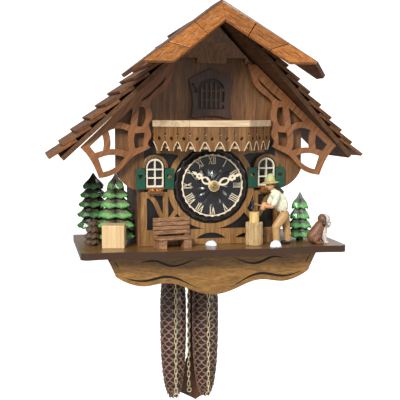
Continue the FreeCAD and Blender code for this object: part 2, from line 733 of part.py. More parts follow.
def cuckoo_door():
    """Door with a turned grille of five bars and two cross rails; it hangs on its right edge."""
    half, sill = size("door_half"), size("door_sill")
    outline = [[(half, sill), (half, 107.6)], [(half, 107.6), (0, 118), (-half, 107.6)],
               [(-half, 107.6), (-half, sill)], [(-half, sill), (half, sill)]]
    leaf = slab(outline, 1.4)
    columns, pitch = 5, 5.4
    bars = []
    for index in range(columns):
        x = (index - 2) * pitch
        top = 115.6 - 0.055 * x * x
        bars.append(Part.makeCylinder(1.5, top - sill - 1.0, Vector(x, -1.6, sill + 0.8), Vector(0, 0, 1)))
    for z in (94.5, 104.5):
        bars.append(Part.makeBox(2 * half - 5, 1.6, 1.4, Vector(-half + 2.5, -2.7, z)))
    for z in (89.0, 104.0):
        bars.append(Part.makeCylinder(0.4, 4.0, Vector(half, -3.1, z), Vector(0, 0, 1)))
        bars.append(Part.makeBox(2.2, 1.8, 3.0, Vector(half - 2.3, -3.0, z + 0.5)))
    door = fused([leaf] + bars)
    door.translate(place(0, -0.8, 0))
    shaped("cuckoo_door", door)


def door_latch_wire():
    """Bent wire that turns over the door to lock it; parked beside it."""
    pin = rod((-20.5, -4.2, 112.5), (-20.5, -7.8, 112.5), 0.95)
    arm = rod((-20.5, -6.8, 112.5), (-16.2, -6.8, 104.4), 0.55)
    tip = rod((-16.2, -6.8, 104.4), (-19.4, -6.8, 103.9), 0.5)
    corner = ball((-16.2, -6.8, 104.4), 0.75)
    shaped("door_latch_wire", fused([pin, arm, tip, corner]))


def cuckoo_bird():
    """Little painted bird on the end of its push rod."""
    body = ball((0, 22, 96), 5.4)
    chest = Part.makeCone(5.2, 2.6, 10, place(0, 23, 96), Vector(0, 1, -0.25))
    head = ball((0, 17.5, 101.5), 3.7)
    beak = Part.makeCone(1.5, 0.2, 5, place(0, 14.8, 101.2), Vector(0, -1, -0.1))
    tail = box(-2.2, 2.2, 31, 42, 91.6, 93.2)
    push_rod = rod((0, 24, 92), (0, 70, 92), 1.2)
    shaped("cuckoo_bird", fused([body, chest, head, beak, tail, push_rod]))


# --------------------------------------------------------------- movement ----

def movement_plates():
    """Two brass plates held apart by four pillars."""
    front = box(-46, 46, 28, 30, -40, 48)
    back = box(-46, 46, 76, 78, -40, 48)
    pillars = [rod((x, 30, z), (x, 76, z), 2.5) for x in (-42, 42) for z in (-36, 44)]
    stud_z = size("pivot_z") + 2.2
    pillars.append(rod((0, 78, stud_z), (0, 91.4, stud_z), 0.6))
    holes = [rod((0, 20, 0), (0, 80, 0), 1.9), rod((0, 20, size("pivot_z")), (0, 80, size("pivot_z")), 1.6),
             rod((14, 20, 24), (14, 80, 24), 1.4)]
    wheel_z = size("wheel_z")
    holes += [rod((wheel_x(side), 20, wheel_z), (wheel_x(side), 80, wheel_z), 2.05) for side in (-1, 1)]
    holes.append(rod((0, 20, 0), (0, 40, 0), 3.0))
    cutter = Part.makeCompound(holes)
    shaped("movement_plates", fused([front, back] + pillars).cut(cutter))


def toothed(radius, teeth, depth, thick, centre, y):
    """A flat gear with plain triangular teeth."""
    points = []
    for index in range(2 * teeth):
        angle = math.pi * index / teeth
        reach = radius if index % 2 == 0 else radius - depth
        points.append((reach * math.cos(angle), reach * math.sin(angle)))
    gear = slab(polygon(*points), thick)
    gear.translate(place(centre[0], y, centre[1]))
    return gear


def chain_wheel(label, side):
    """Chain sprocket with its great wheel on one arbor."""
    x, z, y = wheel_x(side), size("wheel_z"), size("chain_y")
    arbor = rod((x, 27, z), (x, 79, z), 2.0)
    great = toothed(16.6, 36, 1.4, 2.0, (x, z), y - 8)
    cheeks = [rod((x, y + off, z), (x, y + off + 1.0, z), 9.0) for off in (-3.2, 2.2)]
    hub = rod((x, y - 3.2, z), (x, y + 3.2, z), 5.2)
    spikes = []
    for index in range(6):
        angle = math.pi / 3 * index
        tip = (x + 7.2 * math.cos(angle), y, z + 7.2 * math.sin(angle))
        spikes.append(rod((x, y, z), tip, 0.8))
    shaped(label, fused([arbor, great, hub] + cheeks + spikes))


def centre_wheel():
    """Centre arbor through the dial, with its wheel."""
    arbor = rod((0, 79, 0), (0, -21.7, 0), 1.15)
    wheel = toothed(15.6, 48, 1.2, 1.6, (0, 0), 46)
    hub = rod((0, 40, 0), (0, 52, 0), 3.0)
    shaped("centre_wheel", fused([arbor, wheel, hub]))


def escape_wheel():
    arbor = rod((14, 27, 24), (14, 79, 24), 1.0)
    wheel = toothed(9.0, 18, 2.4, 1.4, (14, 24), 72.7)
    shaped("escape_wheel", fused([arbor, wheel]))


def anchor():
    """Anchor on its arbor, with the crutch wire that drives the pendulum."""
    z = size("pivot_z")
    arbor = rod((0, 27, z), (0, 86, z), 1.1)
    arms = [rod((0, 70, z), (-7, 70, z - 3.5), 1.0), rod((0, 70, z), (7, 70, z - 1.0), 1.0)]
    crutch = rod((0, 85, z), (0, 85, 2), 0.9)
    fork = [rod((-5, 85, 2), (5, 85, 2), 0.9)]
    fork += [rod((x, 85, 2), (x, 93, 2), 0.9) for x in (-5, 5)]
    shaped("anchor", fused([arbor, crutch] + arms + fork))


def gong():
    """Coiled gong rod on its block, fixed to the left side board."""
    turns = []
    centre = Vector(0, 0, 0)
    radius = 24.0
    for half_turn in range(6):
        sign = 1 if half_turn % 2 == 0 else -1
        start = centre + Vector(sign * radius, 0, 0)
        middle = centre + Vector(0, sign * radius, 0)
        end = centre - Vector(sign * radius, 0, 0)
        turns.append(Part.Arc(start, middle, end).toShape())
        centre = centre - Vector(sign * 1.6, 0, 0)
        radius -= 1.6
    path = Part.Wire(turns)
    profile = Part.Wire([Part.Circle(Vector(24, 0, 0), Vector(0, 1, 0), 1.1).toShape()])
    coil = path.makePipeShell([profile], True, False)
    coil.rotate(Vector(), Vector(1, 0, 0), 90)
    coil.translate(place(-44, 87, 4))
    mount = box(-76.8, -69, 83, 91, -2, 10)
    stub = rod((-70, 87, 4), (-67.6, 87, 4), 1.6)
    shaped("gong", coil, fused([mount, stub]))


def gong_hammer():
    """Hammer on a wire, just clear of the gong."""
    arm = rod((-20, 85, -38), (-44, 85, -30), 0.9)
    head = rod((-44, 81.5, -29.5), (-44, 89.5, -29.5), 3.2)
    pivot = rod((-20, 78.2, -38), (-20, 86.5, -38), 1.2)
    shaped("gong_hammer", fused([arm, head, pivot]))


def bellows_boxes():
    """Two wooden whistles with their fixed lower boards."""
    inner = size("bellows_x")
    boxes = []
    for side, height in ((-1, 70.0), (1, 78.0)):
        x0 = side * inner
        x1 = side * (inner + 18)
        low, high = min(x0, x1), max(x0, x1)
        whistle = box(low, high, 32, 70, 12 - height, 12)
        mouth = box(low + 3, high - 3, 30, 36, 12 - height + 14, 12 - height + 18)
        boxes.append(whistle.cut(mouth))
    shaped("bellows_boxes", *boxes)


def bellows_top(label, side):
    """Weighted upper board of one bellows, hinged at the back."""
    inner = size("bellows_x")
    low, high = sorted((side * inner, side * (inner + 18)))
    board = box(low, high, 32, 69, 15.2, 18.0)
    pad_weight = box(low + 5, high - 5, 34, 46, 18.0, 21.5)
    hinge = rod((low, 69.5, 14.2), (high, 69.5, 14.2), 1.1)
    hinge_leaf = box(low, high, 67.5, 69.8, 14.2, 16)
    shaped(label, fused([board, pad_weight, hinge, hinge_leaf]))


# ---------------------------------------------------- pendulum and weights ----

def pendulum_rod():
    """Wooden rod on a wire hook; it broadens into a flat board below the case."""
    y, z = size("pendulum_y"), size("pivot_z")
    hook = rod((0, y, z), (0, y, z - 10), 0.9)
    eye = Part.makeTorus(2.2, 0.7, place(0, y, z + 1.4), Vector(0, 1, 0))
    strip = box(-3.4, 3.4, y - 1.4, y + 1.4, -266, z - 9)
    broad = slab(both_sides([[(0, -222), (5.5, -222)], [(5.5, -222), (9, -214)],
                             [(9, -214), (9, -99)], [(9, -99), (0, -91)]]), 2.8)
    broad.translate(place(0, y + 1.4, 0))
    shaped("pendulum_rod", fused([hook, eye, strip, broad]))


def pendulum_leaf():
    """Carved leaf that slides on the rod to set the rate."""
    y = size("pendulum_y")
    half = [[(0, -279), (10, -274), (22, -267)], [(22, -267), (24, -256), (18, -240)],
            [(18, -240), (8, -228), (0, -222)]]
    leaf = slab(both_sides(half), 3.0)
    leaf.translate(place(0, y - 1.5, 0))
    clip = box(-6, 6, y + 1.5, y + 2.2, -252, -242)
    ears = [box(x, x + 0.7, y - 2.0, y + 2.2, -252, -242) for x in (-6, 5.3)]
    shaped("pendulum_leaf", fused([leaf, clip] + ears))


def cone_weight(label, side):
    """Cast iron weight in the form of a pine cone, with its hook."""
    x, y = strand_x(side, -1), size("chain_y")
    profile = [[(0, -101), (3.5, -101)], [(3.5, -101), (9, -104), (13.6, -118), (16.2, -146), (16.4, -180),
                                         (15.2, -220), (11, -250), (5, -264)],
               [(5, -264), (0, -266)], [(0, -266), (0, -101)]]
    curves = [edge_of(run).toShape() for run in profile]
    flat = Part.Face(Part.Wire(Part.__sortEdges__(curves)))
    cone = flat.revolve(Vector(), Vector(0, 1, 0), 360)
    cone.rotate(Vector(), Vector(1, 0, 0), 90)
    cone.translate(place(x, y, 0))
    shank = rod((x, y, -102), (x, y, -97.5), 0.9)
    ring = Part.makeTorus(2.6, 0.8, place(x, y, -95.4), Vector(0, 1, 0))
    shaped(label, fused([cone, shank, ring]))


def chain_bar(x, y, low, high):
    return box(x - 2.1, x + 2.1, y - 1.0, y + 1.0, low, high)


def weight_chain(label, side):
    """Loaded strand down to the hook, and the spare tail that hangs in front of the weight."""
    x, y = strand_x(side, -1), size("chain_y")
    wheel = size("wheel_z")
    strand = chain_bar(x, y, -92.2, wheel + size("weight_travel"))
    tail = chain_bar(x, y - 18.6, size("chain_bottom"), -96)
    ring = Part.makeTorus(3.4, 0.6, place(x, y - 18.6, size("chain_bottom") - 4.2), Vector(0, 1, 0))
    shaped(label, strand, tail, ring)


def free_chain(label, side):
    """Unloaded strand with its pull ring; the right one is taken up short under the stage."""
    x, y = strand_x(side, 1), size("chain_y")
    end = size("chain_bottom") if side < 0 else -97.0
    strand = chain_bar(x, y, end, size("wheel_z"))
    ring = Part.makeTorus(2.5, 0.5, place(x - side * 0.7, y, end - 3.2), Vector(0, 1, 0))
    shaped(label, strand, ring)


# ---------------------------------------------------------------- figures ----

STAGE_TOP = size("stage_bottom") + size("stage_thick")


def fir_tree(x, y, height, radius, tiers):
    """Turned and cut fir tree: a trunk and flared tiers."""
    trunk_height = height * 0.12
    pieces = [Part.makeCylinder(radius * 0.26, trunk_height + 2, place(x, y, STAGE_TOP))]
    crown = height - trunk_height
    for tier in range(tiers):
        share = tier / tiers
        base = place(x, y, STAGE_TOP + trunk_height + crown * share)
        tall = crown / tiers * 1.45 if tier < tiers - 1 else crown / tiers
        wide = radius * (1 - share * 0.86)
        pieces.append(Part.makeCone(wide, wide * 0.35 if tier < tiers - 1 else 0.3, tall, base))
    return fused(pieces)


def trees_left():
    shrub = Part.makeCone(8.5, 3.0, 30, place(-130, 20, STAGE_TOP))
    shaped("trees_left", fir_tree(-104, 33, 80, 20.4, 6), fir_tree(-126, 76, 78, 15, 6), shrub)


def trees_right():
    shaped("trees_right", fir_tree(109, 8, 57, 13, 5), fir_tree(97, 62, 62, 11.5, 5))


def turned_about(shape, x, y, degrees):
    shape.rotate(place(x, y, 0), Vector(0, 0, 1), degrees)
    return shape


def bench():
    """Slatted garden bench on two block legs."""
    x, y = -45.5, -18.5
    slats = [box(x - 21.5, x + 21.5, y - 8 + 4.0 * i, y - 4.6 + 4.0 * i, -57.6, -55.4) for i in range(4)]
    legs = [box(x + off, x + off + 9, y - 6.5, y + 6.5, STAGE_TOP, -57.6) for off in (-19, 10)]
    posts = [box(x + off, x + off + 4, y + 8.0, y + 9.8, STAGE_TOP, -35) for off in (-20, 16)]
    backs = [box(x - 21.5, x + 21.5, y + 6.4, y + 8.2, z, z + 4.0) for z in (-53, -48.2, -43.4, -38.6)]
    pieces = slats + legs + posts + backs
    pieces.append(box(x - 19, x + 19, y - 6, y + 8.1, -58.6, -57.0))
    shaped("bench", turned_about(fused(pieces), x, y, 10))


def chopping_block():
    """Tree stump with a short log standing on it."""
    stump = rod((47, -17, STAGE_TOP), (47, -17, -41.5), 10.0)
    log = rod((47, -17, -42), (47, -17, -30), 5.6)
    shaped("chopping_block", fused([stump, log]))


def stage_trimmings():
    """Squared block of pale wood and two lumps of snow."""
    block = turned_about(box(-121.8, -97.2, -14.2, 10.2, STAGE_TOP, -42), -109.5, -2, -12)
    lumps = []
    for x, y, radius in ((-1, -12, 8.0), (67, -37.4, 7.0)):
        lump = Part.makeSphere(radius, place(x, y, STAGE_TOP - 1.5))
        lumps.append(lump.common(box(x - 20, x + 20, y - 20, y + 20, STAGE_TOP, STAGE_TOP + 20)))
    shaped("stage_trimmings", block, *lumps)


SHOULDER = (70.0, -21.8, -10.5)


def woodchopper():
    """Carved woodchopper leaning over his block: boots, legs, trunk, head and hat."""
    y = SHOULDER[1]
    pieces = []
    for x, dy in ((69, -5.0), (84, 4.0)):
        pieces.append(box(x - 7.5, x + 3.5, y + dy - 3.2, y + dy + 3.2, STAGE_TOP, STAGE_TOP + 4))
        leg_top = (81, y + dy * 0.7, -34)
        leg = Part.makeCone(3.4, 5.0, (place(*leg_top) - place(x, y + dy, STAGE_TOP + 3)).Length,
                            place(x, y + dy, STAGE_TOP + 3), place(*leg_top) - place(x, y + dy, STAGE_TOP + 3))
        pieces.append(leg)
    pieces.append(ball((81, y, -33), 6.6))
    lower, upper = place(81, y, -32), place(70, y, -8)
    pieces.append(Part.makeCone(6.5, 5.0, (upper - lower).Length, lower, upper - lower))
    pieces.append(ball((70, y, -8.5), 5.0))
    pieces.append(ball((64.5, y, 0.0), 5.6))
    pieces.append(Part.makeCylinder(10.0, 1.6, place(64.5, y, 2.4)))
    pieces.append(Part.makeCone(5.8, 4.4, 9.0, place(64.5, y, 3.4)))
    shaped("woodchopper", fused(pieces))


def chopper_arms():
    """Both arms, the hands together, and the axe."""
    x, y, z = SHOULDER
    pieces = [box(52.4, 58.8, y - 3.4, y + 3.4, -26.2, -20.2)]
    for side in (-1, 1):
        reach = y + side * 8.3
        elbow = (64, reach, -23.4)
        pieces.append(rod((x, y + side * 5.9, z), (x, y + side * 10.9, z), 2.9))
        pieces.append(rod((x, reach, z), elbow, 2.5))
        pieces.append(ball(elbow, 2.9))
        pieces.append(rod(elbow, (55.6, y + side * 1.2, -23.1), 2.2))
    pieces.append(rod((61, y, -24.8), (43, y, -19.5), 1.1))
    pieces.append(box(41.5, 46.0, y - 1.4, y + 1.4, -26.0, -15.5))
    shaped("chopper_arms", fused(pieces))


def dog():
    """Dog sitting up, looking to the right."""
    x, y = 122.0, -22.0
    body = Part.makeCone(8.5, 5.5, 20, place(x - 2, y, -62), Vector(0.32, 0, 1))
    pieces = [body, ball((x - 3, y, -59), 8.3), ball((x + 5, y - 1, -38.5), 6.2)]
    pieces.append(Part.makeCone(3.4, 2.0, 7, place(x + 8, y - 1, -39.5), Vector(1, -0.2, -0.25)))
    for dy in (-4, 4):
        pieces.append(rod((x + 6.5, y + dy, -67.0), (x + 4, y + dy * 0.8, -46), 2.4))
        pieces.append(rod((x - 2, y + dy * 1.4, -65), (x + 6, y + dy * 1.4, -65), 2.5))
        pieces.append(Part.makeCone(2.4, 1.2, 8, place(x + 2.5, y - 1 + dy * 1.35, -36), Vector(-0.1, 0, -1)))
    pieces.append(rod((x - 9, y, -64.8), (x - 15, y + 4, -63.5), 1.7))
    figure = fused(pieces)
    shaped("dog", figure.common(box(x - 30, x + 30, y - 30, y + 30, STAGE_TOP + 0.02, 0)))


# ------------------------------------------------------------- put together ----

for name, side in (("left", -1), ("right", 1)):
    case_side("case_side_" + name, side)
    roof_board("roof_board_" + name, side)
    shingles("shingles_" + name, side)
    visor_board("visor_board_" + name, side)
    fretwork("fretwork_" + name, side)
    chain_wheel("chain_wheel_" + name, side)
    bellows_top("bellows_top_" + name, side)
    cone_weight("weight_" + name, side)
    weight_chain("chain_%s_loaded" % name, side)
    free_chain("chain_%s_free" % name, side)
facade_panel()
gable_boards()
back_rail()
back_door()
back_door_latch()
base_platform()
apron_board()
upper_roof()
timber_framing()
dial_surround()
dial_disc()
chapter_ring()
hand("hour_hand", 29.0, -16.6, -55.5, 1.5, 48.0)
hand("minute_hand", 33.5, -19.0, 66.0, 1.15, 0)
hand_nut()
windows()
flower_boxes()
balcony_frame()
balcony_balusters()
cuckoo_door_frame()
cuckoo_door()
door_latch_wire()
cuckoo_bird()
movement_plates()
centre_wheel()
escape_wheel()
anchor()
gong()
gong_hammer()
bellows_boxes()
pendulum_rod()
pendulum_leaf()
trees_left()
trees_right()
bench()
chopping_block()
stage_trimmings()
woodchopper()
chopper_arms()
dog()

doc.recompute()
for item in doc.Objects:
    if "Invalid" in item.State or "Error" in item.State:
        raise RuntimeError("%s failed: %s" % (item.Label, item.State))
for part in PARTS:
    if part.Shape.isNull() or not part.Shape.isValid() or not part.Shape.Solids:
        raise RuntimeError("%s has no valid shape" % part.Label)

os.makedirs("parts", exist_ok=True)
for part in PARTS:
    part.Shape.exportStep(os.path.join("parts", part.Label + ".step"))
print("%d parts" % len(PARTS))
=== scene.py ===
import math
import random

import bmesh
import bpy
import numpy
from mathutils import Euler, Matrix, Vector


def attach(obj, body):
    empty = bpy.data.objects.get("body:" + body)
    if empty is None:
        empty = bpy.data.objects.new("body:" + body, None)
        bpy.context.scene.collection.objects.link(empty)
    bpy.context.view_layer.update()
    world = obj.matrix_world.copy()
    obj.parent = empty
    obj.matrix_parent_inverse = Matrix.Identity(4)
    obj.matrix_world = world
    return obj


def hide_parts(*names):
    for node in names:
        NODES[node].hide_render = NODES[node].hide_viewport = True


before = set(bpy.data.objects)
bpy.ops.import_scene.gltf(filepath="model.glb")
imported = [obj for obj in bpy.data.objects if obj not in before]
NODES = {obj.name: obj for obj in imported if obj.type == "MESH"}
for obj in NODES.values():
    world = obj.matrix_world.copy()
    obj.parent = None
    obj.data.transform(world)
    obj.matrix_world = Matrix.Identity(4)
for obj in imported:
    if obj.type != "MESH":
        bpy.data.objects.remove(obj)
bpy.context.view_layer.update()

# The case: two sides, the gable panel, the back rail and the back door, sawn from
# walnut-faced board and stained.  The panel is left black behind the timber framing.
FACADE_Y, DIAL_Z = -0.105, -0.125


def at(x, y, z):
    """Millimetres from the dial centre, turned into the clock's frame."""
    return Vector((x / 1000, FACADE_Y + y / 1000, DIAL_Z + z / 1000))


def wood(name, dark, pale, along="Z", turn=0.0, grain=0.0045, stretch=16, rough=0.42,
         coat=0.25, relief=0.12, edge=None, pores=0.55):
    """Stained or raw timber: long figure, fine pores, uneven sheen, and a cut edge colour."""
    stuff = bpy.data.materials.new(name)
    stuff.use_nodes = True
    tree = stuff.node_tree
    new, link = tree.nodes.new, tree.links.new
    shader = tree.nodes["Principled BSDF"]
    shader.inputs["Coat Weight"].default_value = coat
    shader.inputs["Coat Roughness"].default_value = 0.22
    spot = new("ShaderNodeTexCoord")
    lay = new("ShaderNodeMapping")
    lay.vector_type = "TEXTURE"
    lay.inputs["Rotation"].default_value = (0, turn, 0)
    size = [grain] * 3
    size["XYZ".index(along)] = grain * stretch
    lay.inputs["Scale"].default_value = size
    link(spot.outputs["Object"], lay.inputs["Vector"])
    figure = new("ShaderNodeTexNoise")
    figure.inputs["Detail"].default_value = 5
    figure.inputs["Distortion"].default_value = 1.1
    figure.inputs["Scale"].default_value = 1.0
    link(lay.outputs["Vector"], figure.inputs["Vector"])
    fine = new("ShaderNodeTexNoise")
    fine.inputs["Scale"].default_value = 7.0
    fine.inputs["Detail"].default_value = 3
    link(lay.outputs["Vector"], fine.inputs["Vector"])
    shade = new("ShaderNodeValToRGB")
    ends = shade.color_ramp.elements
    ends[0].position, ends[0].color = 0.30, (*dark, 1)
    ends[1].position, ends[1].color = 0.72, (*pale, 1)
    link(figure.outputs["Fac"], shade.inputs["Fac"])
    streak = new("ShaderNodeValToRGB")
    ends = streak.color_ramp.elements
    ends[0].position, ends[0].color = 0.40, (pores, pores, pores, 1)
    ends[1].position, ends[1].color = 0.56, (1, 1, 1, 1)
    link(fine.outputs["Fac"], streak.inputs["Fac"])
    body = new("ShaderNodeMix")
    body.data_type, body.blend_type = "RGBA", "MULTIPLY"
    body.inputs["Factor"].default_value = 0.8
    link(shade.outputs["Color"], body.inputs["A"])
    link(streak.outputs["Color"], body.inputs["B"])
    colour = body.outputs["Result"]
    if edge:
        split = new("ShaderNodeSeparateXYZ")
        link(spot.outputs["Normal"], split.inputs["Vector"])
        flat = new("ShaderNodeMath")
        flat.operation = "ABSOLUTE"
        link(split.outputs["Y"], flat.inputs[0])
        cut = new("ShaderNodeMath")
        cut.operation = "LESS_THAN"
        cut.inputs[1].default_value = 0.5
        link(flat.outputs["Value"], cut.inputs[0])
        rim = new("ShaderNodeMix")
        rim.data_type = "RGBA"
        link(cut.outputs["Value"], rim.inputs["Factor"])
        link(colour, rim.inputs["A"])
        rim.inputs["B"].default_value = (*edge, 1)
        colour = rim.outputs["Result"]
    link(colour, shader.inputs["Base Color"])
    sheen = new("ShaderNodeMapRange")
    sheen.inputs["To Min"].default_value = rough - 0.08
    sheen.inputs["To Max"].default_value = rough + 0.14
    link(fine.outputs["Fac"], sheen.inputs["Value"])
    link(sheen.outputs["Result"], shader.inputs["Roughness"])
    bump = new("ShaderNodeBump")
    bump.inputs["Strength"].default_value = relief
    bump.inputs["Distance"].default_value = 0.0006
    link(fine.outputs["Fac"], bump.inputs["Height"])
    link(bump.outputs["Normal"], shader.inputs["Normal"])
    return stuff


def below(stuff, height, half_width, tone, soft=0.002):
    """Darkens the middle of a board under a height, where it is painted before assembly."""
    tree = stuff.node_tree
    new, link = tree.nodes.new, tree.links.new
    shader = tree.nodes["Principled BSDF"]
    old = shader.inputs["Base Color"].links[0].from_socket
    spot, split = new("ShaderNodeTexCoord"), new("ShaderNodeSeparateXYZ")
    link(spot.outputs["Object"], split.inputs["Vector"])
    step = new("ShaderNodeMapRange")
    step.inputs["From Min"].default_value = height - soft
    step.inputs["From Max"].default_value = height + soft
    link(split.outputs["Z"], step.inputs["Value"])
    aside, outside, bare = new("ShaderNodeMath"), new("ShaderNodeMath"), new("ShaderNodeMath")
    aside.operation, outside.operation, bare.operation = "ABSOLUTE", "GREATER_THAN", "MAXIMUM"
    outside.inputs[1].default_value = half_width
    link(split.outputs["X"], aside.inputs[0])
    link(aside.outputs["Value"], outside.inputs[0])
    link(step.outputs["Result"], bare.inputs[0])
    link(outside.outputs["Value"], bare.inputs[1])
    mix = new("ShaderNodeMix")
    mix.data_type = "RGBA"
    mix.inputs["A"].default_value = (*tone, 1)
    link(bare.outputs["Value"], mix.inputs["Factor"])
    link(old, mix.inputs["B"])
    link(mix.outputs["Result"], shader.inputs["Base Color"])
    return stuff


def dress(stuff, *names):
    """Gives CAD nodes their finish."""
    for name in names:
        NODES[name].data.materials.clear()
        NODES[name].data.materials.append(stuff)


walnut = wood("walnut panel", (0.123, 0.047, 0.012), (0.280, 0.121, 0.036), rough=0.40)
below(walnut, at(0, 0, 52).z, 0.0755, (0.006, 0.004, 0.003))
# The sides take the walnut much darker: painted shade, for sides turned away from the light.
shaded_side_walnut = wood("walnut sides with painted shade", (0.056, 0.016, 0.004), (0.123, 0.041, 0.009), rough=0.6, coat=0.0)
back_board = wood("back board", (0.105, 0.050, 0.020), (0.192, 0.104, 0.046), rough=0.6, coat=0.0)
dress(walnut, "facade_panel")
dress(shaded_side_walnut, "case_side_left", "case_side_right", "back_door_latch")
dress(back_board, "back_rail", "back_door")
gable_walnut = wood("gable walnut", (0.150, 0.055, 0.014), (0.360, 0.155, 0.045), stretch=12)
dress(gable_walnut, "gable_boards")


# Main roof: two boards of stained ply, meeting at the ridge and glued to the gable and the
# case sides.  Only their lower edges and undersides show past the shingles.
PITCH = math.radians(43.4)
ROOF_HALF, EAVE = 163.6, 29.0
RIDGE_UNDER = EAVE + ROOF_HALF * math.tan(PITCH)
EAVE_U = ROOF_HALF / math.cos(PITCH)
roof_ply = wood("roof board", (0.080, 0.028, 0.008), (0.180, 0.074, 0.020), along="Y", rough=0.7, coat=0.0)
dress(roof_ply, "roof_board_left", "roof_board_right")


def fit(piece, body, slot, *stands_for):
    """A finished piece goes on its body, and the CAD nodes it stands for are hidden; the slot is not used."""
    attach(piece, body)
    if stands_for:
        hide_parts(*stands_for)
    return piece


def piece_of(name, points, faces, *stuffs, smooth=False):
    """A piece made from its points and faces, with its finishes."""
    mesh = bpy.data.meshes.new(name)
    mesh.from_pydata([tuple(p) for p in points], [], faces)
    made = bpy.data.objects.new(name, mesh)
    bpy.context.scene.collection.objects.link(made)
    for stuff in stuffs:
        mesh.materials.append(stuff)
    if smooth:
        mesh.polygons.foreach_set("use_smooth", [True] * len(mesh.polygons))
    return made


FINE_MERGE = 0.000001


def outward(piece, merge=0.00001):
    """Merges doubles and turns every face outwards."""
    bm = bmesh.new()
    bm.from_mesh(piece.data)
    bmesh.ops.remove_doubles(bm, verts=bm.verts, dist=merge)
    bmesh.ops.recalc_face_normals(bm, faces=bm.faces)
    bm.to_mesh(piece.data)
    bm.free()
    return piece


def soften(piece, width, segments=2):
    """Eases the corners, as sandpaper does."""
    ease = piece.modifiers.new("eased edges", "BEVEL")
    ease.width = width
    ease.segments = segments
    ease.limit_method = "ANGLE"
    ease.angle_limit = math.radians(35)
    return piece


def settle(piece):
    """Turns the modifiers into plain mesh."""
    seen = piece.evaluated_get(bpy.context.evaluated_depsgraph_get())
    mesh = bpy.data.meshes.new_from_object(seen)
    piece.modifiers.clear()
    piece.data = mesh
    return piece


# Shingles: thin split boards laid in courses up the slope.  Every course rests on the one
# below, so its lower edge kicks up, and no two boards are the same width, tone or length.
STEP, LENGTH, THICK, LIFT = 20.5, 36.0, 3.6, 6.85
LOWEST = EAVE_U + 10.3
HOOD_COURSES = 9


def roof_front(u):
    return -5 - 0.316 * (EAVE_U - max(u, 70))


def on_slope(side, u, y, lift):
    """A point u mm down the slope from the ridge, lifted off the underside of the board."""
    x = u * math.cos(PITCH) + lift * math.sin(PITCH)
    z = RIDGE_UNDER - u * math.sin(PITCH) + lift * math.cos(PITCH)
    return at(side * x, y, z)


def shingle_courses(side, seed):
    chance = random.Random(seed)
    points, faces = [], []
    kick = LIFT / LENGTH
    for course in range(11):
        low = LOWEST - STEP * course
        high = max(low - LENGTH, 0.6)
        if course < HOOD_COURSES:
            front_low, front_high = roof_front(min(low, 225)) + 0.6, roof_front(high) + 0.6
        else:
            front_low, front_high = -10.8 - 0.314 * low, -10.8 - 0.314 * high
        y = -1000.0
        while y < 103.5:
            width = chance.uniform(15, 29)
            first = y < -900
            near_low = front_low if first else y + 0.35
            near_high = front_high if first else y + 0.35
            y = (front_low if first else y) + width
            if y > 92:
                y = 103.7
            tip = low - chance.uniform(0, 0.9)
            base = len(points)
            wobble = chance.uniform(-0.12, 0.12)
            for u, near in ((high, near_high), (tip, near_low)):
                rise = 5.1 + (u - (low - LENGTH)) * kick + wobble
                far = min(y - 0.35, 103.7)
                for where, up in ((near, 0), (far, 0), (far, THICK), (near, THICK)):
                    points.append(on_slope(side, u, where, rise + up))
            corners = [base + i for i in range(8)]
            a, b, c, d, e, f, g, h = corners
            faces += [(a, d, c, b), (e, f, g, h), (a, b, f, e), (b, c, g, f), (c, d, h, g), (d, a, e, h)]
    return points, faces


def by_island(stuff, spread=0.55):
    """Lets every loose board of a piece have its own tone."""
    tree = stuff.node_tree
    new, link = tree.nodes.new, tree.links.new
    shader = tree.nodes["Principled BSDF"]
    old = shader.inputs["Base Color"].links[0].from_socket
    which = new("ShaderNodeNewGeometry")
    tone = new("ShaderNodeMapRange")
    tone.inputs["To Min"].default_value = 1 - spread
    tone.inputs["To Max"].default_value = 1 + spread * 0.45
    link(which.outputs["Random Per Island"], tone.inputs["Value"])
    vary = new("ShaderNodeVectorMath")
    vary.operation = "SCALE"
    link(old, vary.inputs[0])
    link(tone.outputs["Result"], vary.inputs["Scale"])
    link(vary.outputs["Vector"], shader.inputs["Base Color"])
    return stuff


for side, word in ((-1, "left"), (1, "right")):
    split = wood("shingle " + word, (0.095, 0.030, 0.006), (0.302, 0.112, 0.025), along="X",
                 turn=side * PITCH, grain=0.003, stretch=10, rough=0.55, coat=0.05, relief=0.35)
    by_island(split, 0.45)
    points, faces = shingle_courses(side, 11 + side)
    roofing = outward(piece_of("shingle_courses_" + word, points, faces, split))
    soften(roofing, 0.0003, 1)
    settle(roofing)
    fit(roofing, "case", "shingle_wood", "shingles_" + word)


# Hood: a second little roof that carries the visor boards.  Two stained slabs meet at the
# ridge; under them everything is in shadow.
hood_stain = wood("hood slabs", (0.069, 0.020, 0.004), (0.187, 0.065, 0.015), along="Y", rough=0.45)
dress(hood_stain, "upper_roof")

# Visor boards: three honey-lacquered planks each side, butted with open joints, with two
# knife-cut dashes in every plank.  They lean out over the gable.
IN_TOP, OUT_TOP = Vector((0, -75, 176.5)), Vector((0, -58, 196.5))
IN_LOW = Vector((59.5, -107, 131.6))
VISOR_THICK = 4.0
visor_normal = (OUT_TOP - IN_TOP).cross(IN_LOW - IN_TOP).normalized()
if visor_normal.y > 0:
    visor_normal.negate()
OUT_LOW = Vector((89.4, 0, 132.0))
OUT_LOW.y = IN_TOP.y - (visor_normal.x * (OUT_LOW.x - IN_TOP.x)
                        + visor_normal.z * (OUT_LOW.z - IN_TOP.z)) / visor_normal.y


def visor_point(t, s):
    """t runs down the board from the ridge, s across it from the inner to the outer edge."""
    inner = IN_TOP.lerp(IN_LOW, t)
    outer = OUT_TOP.lerp(OUT_LOW, t)
    return inner.lerp(outer, s)


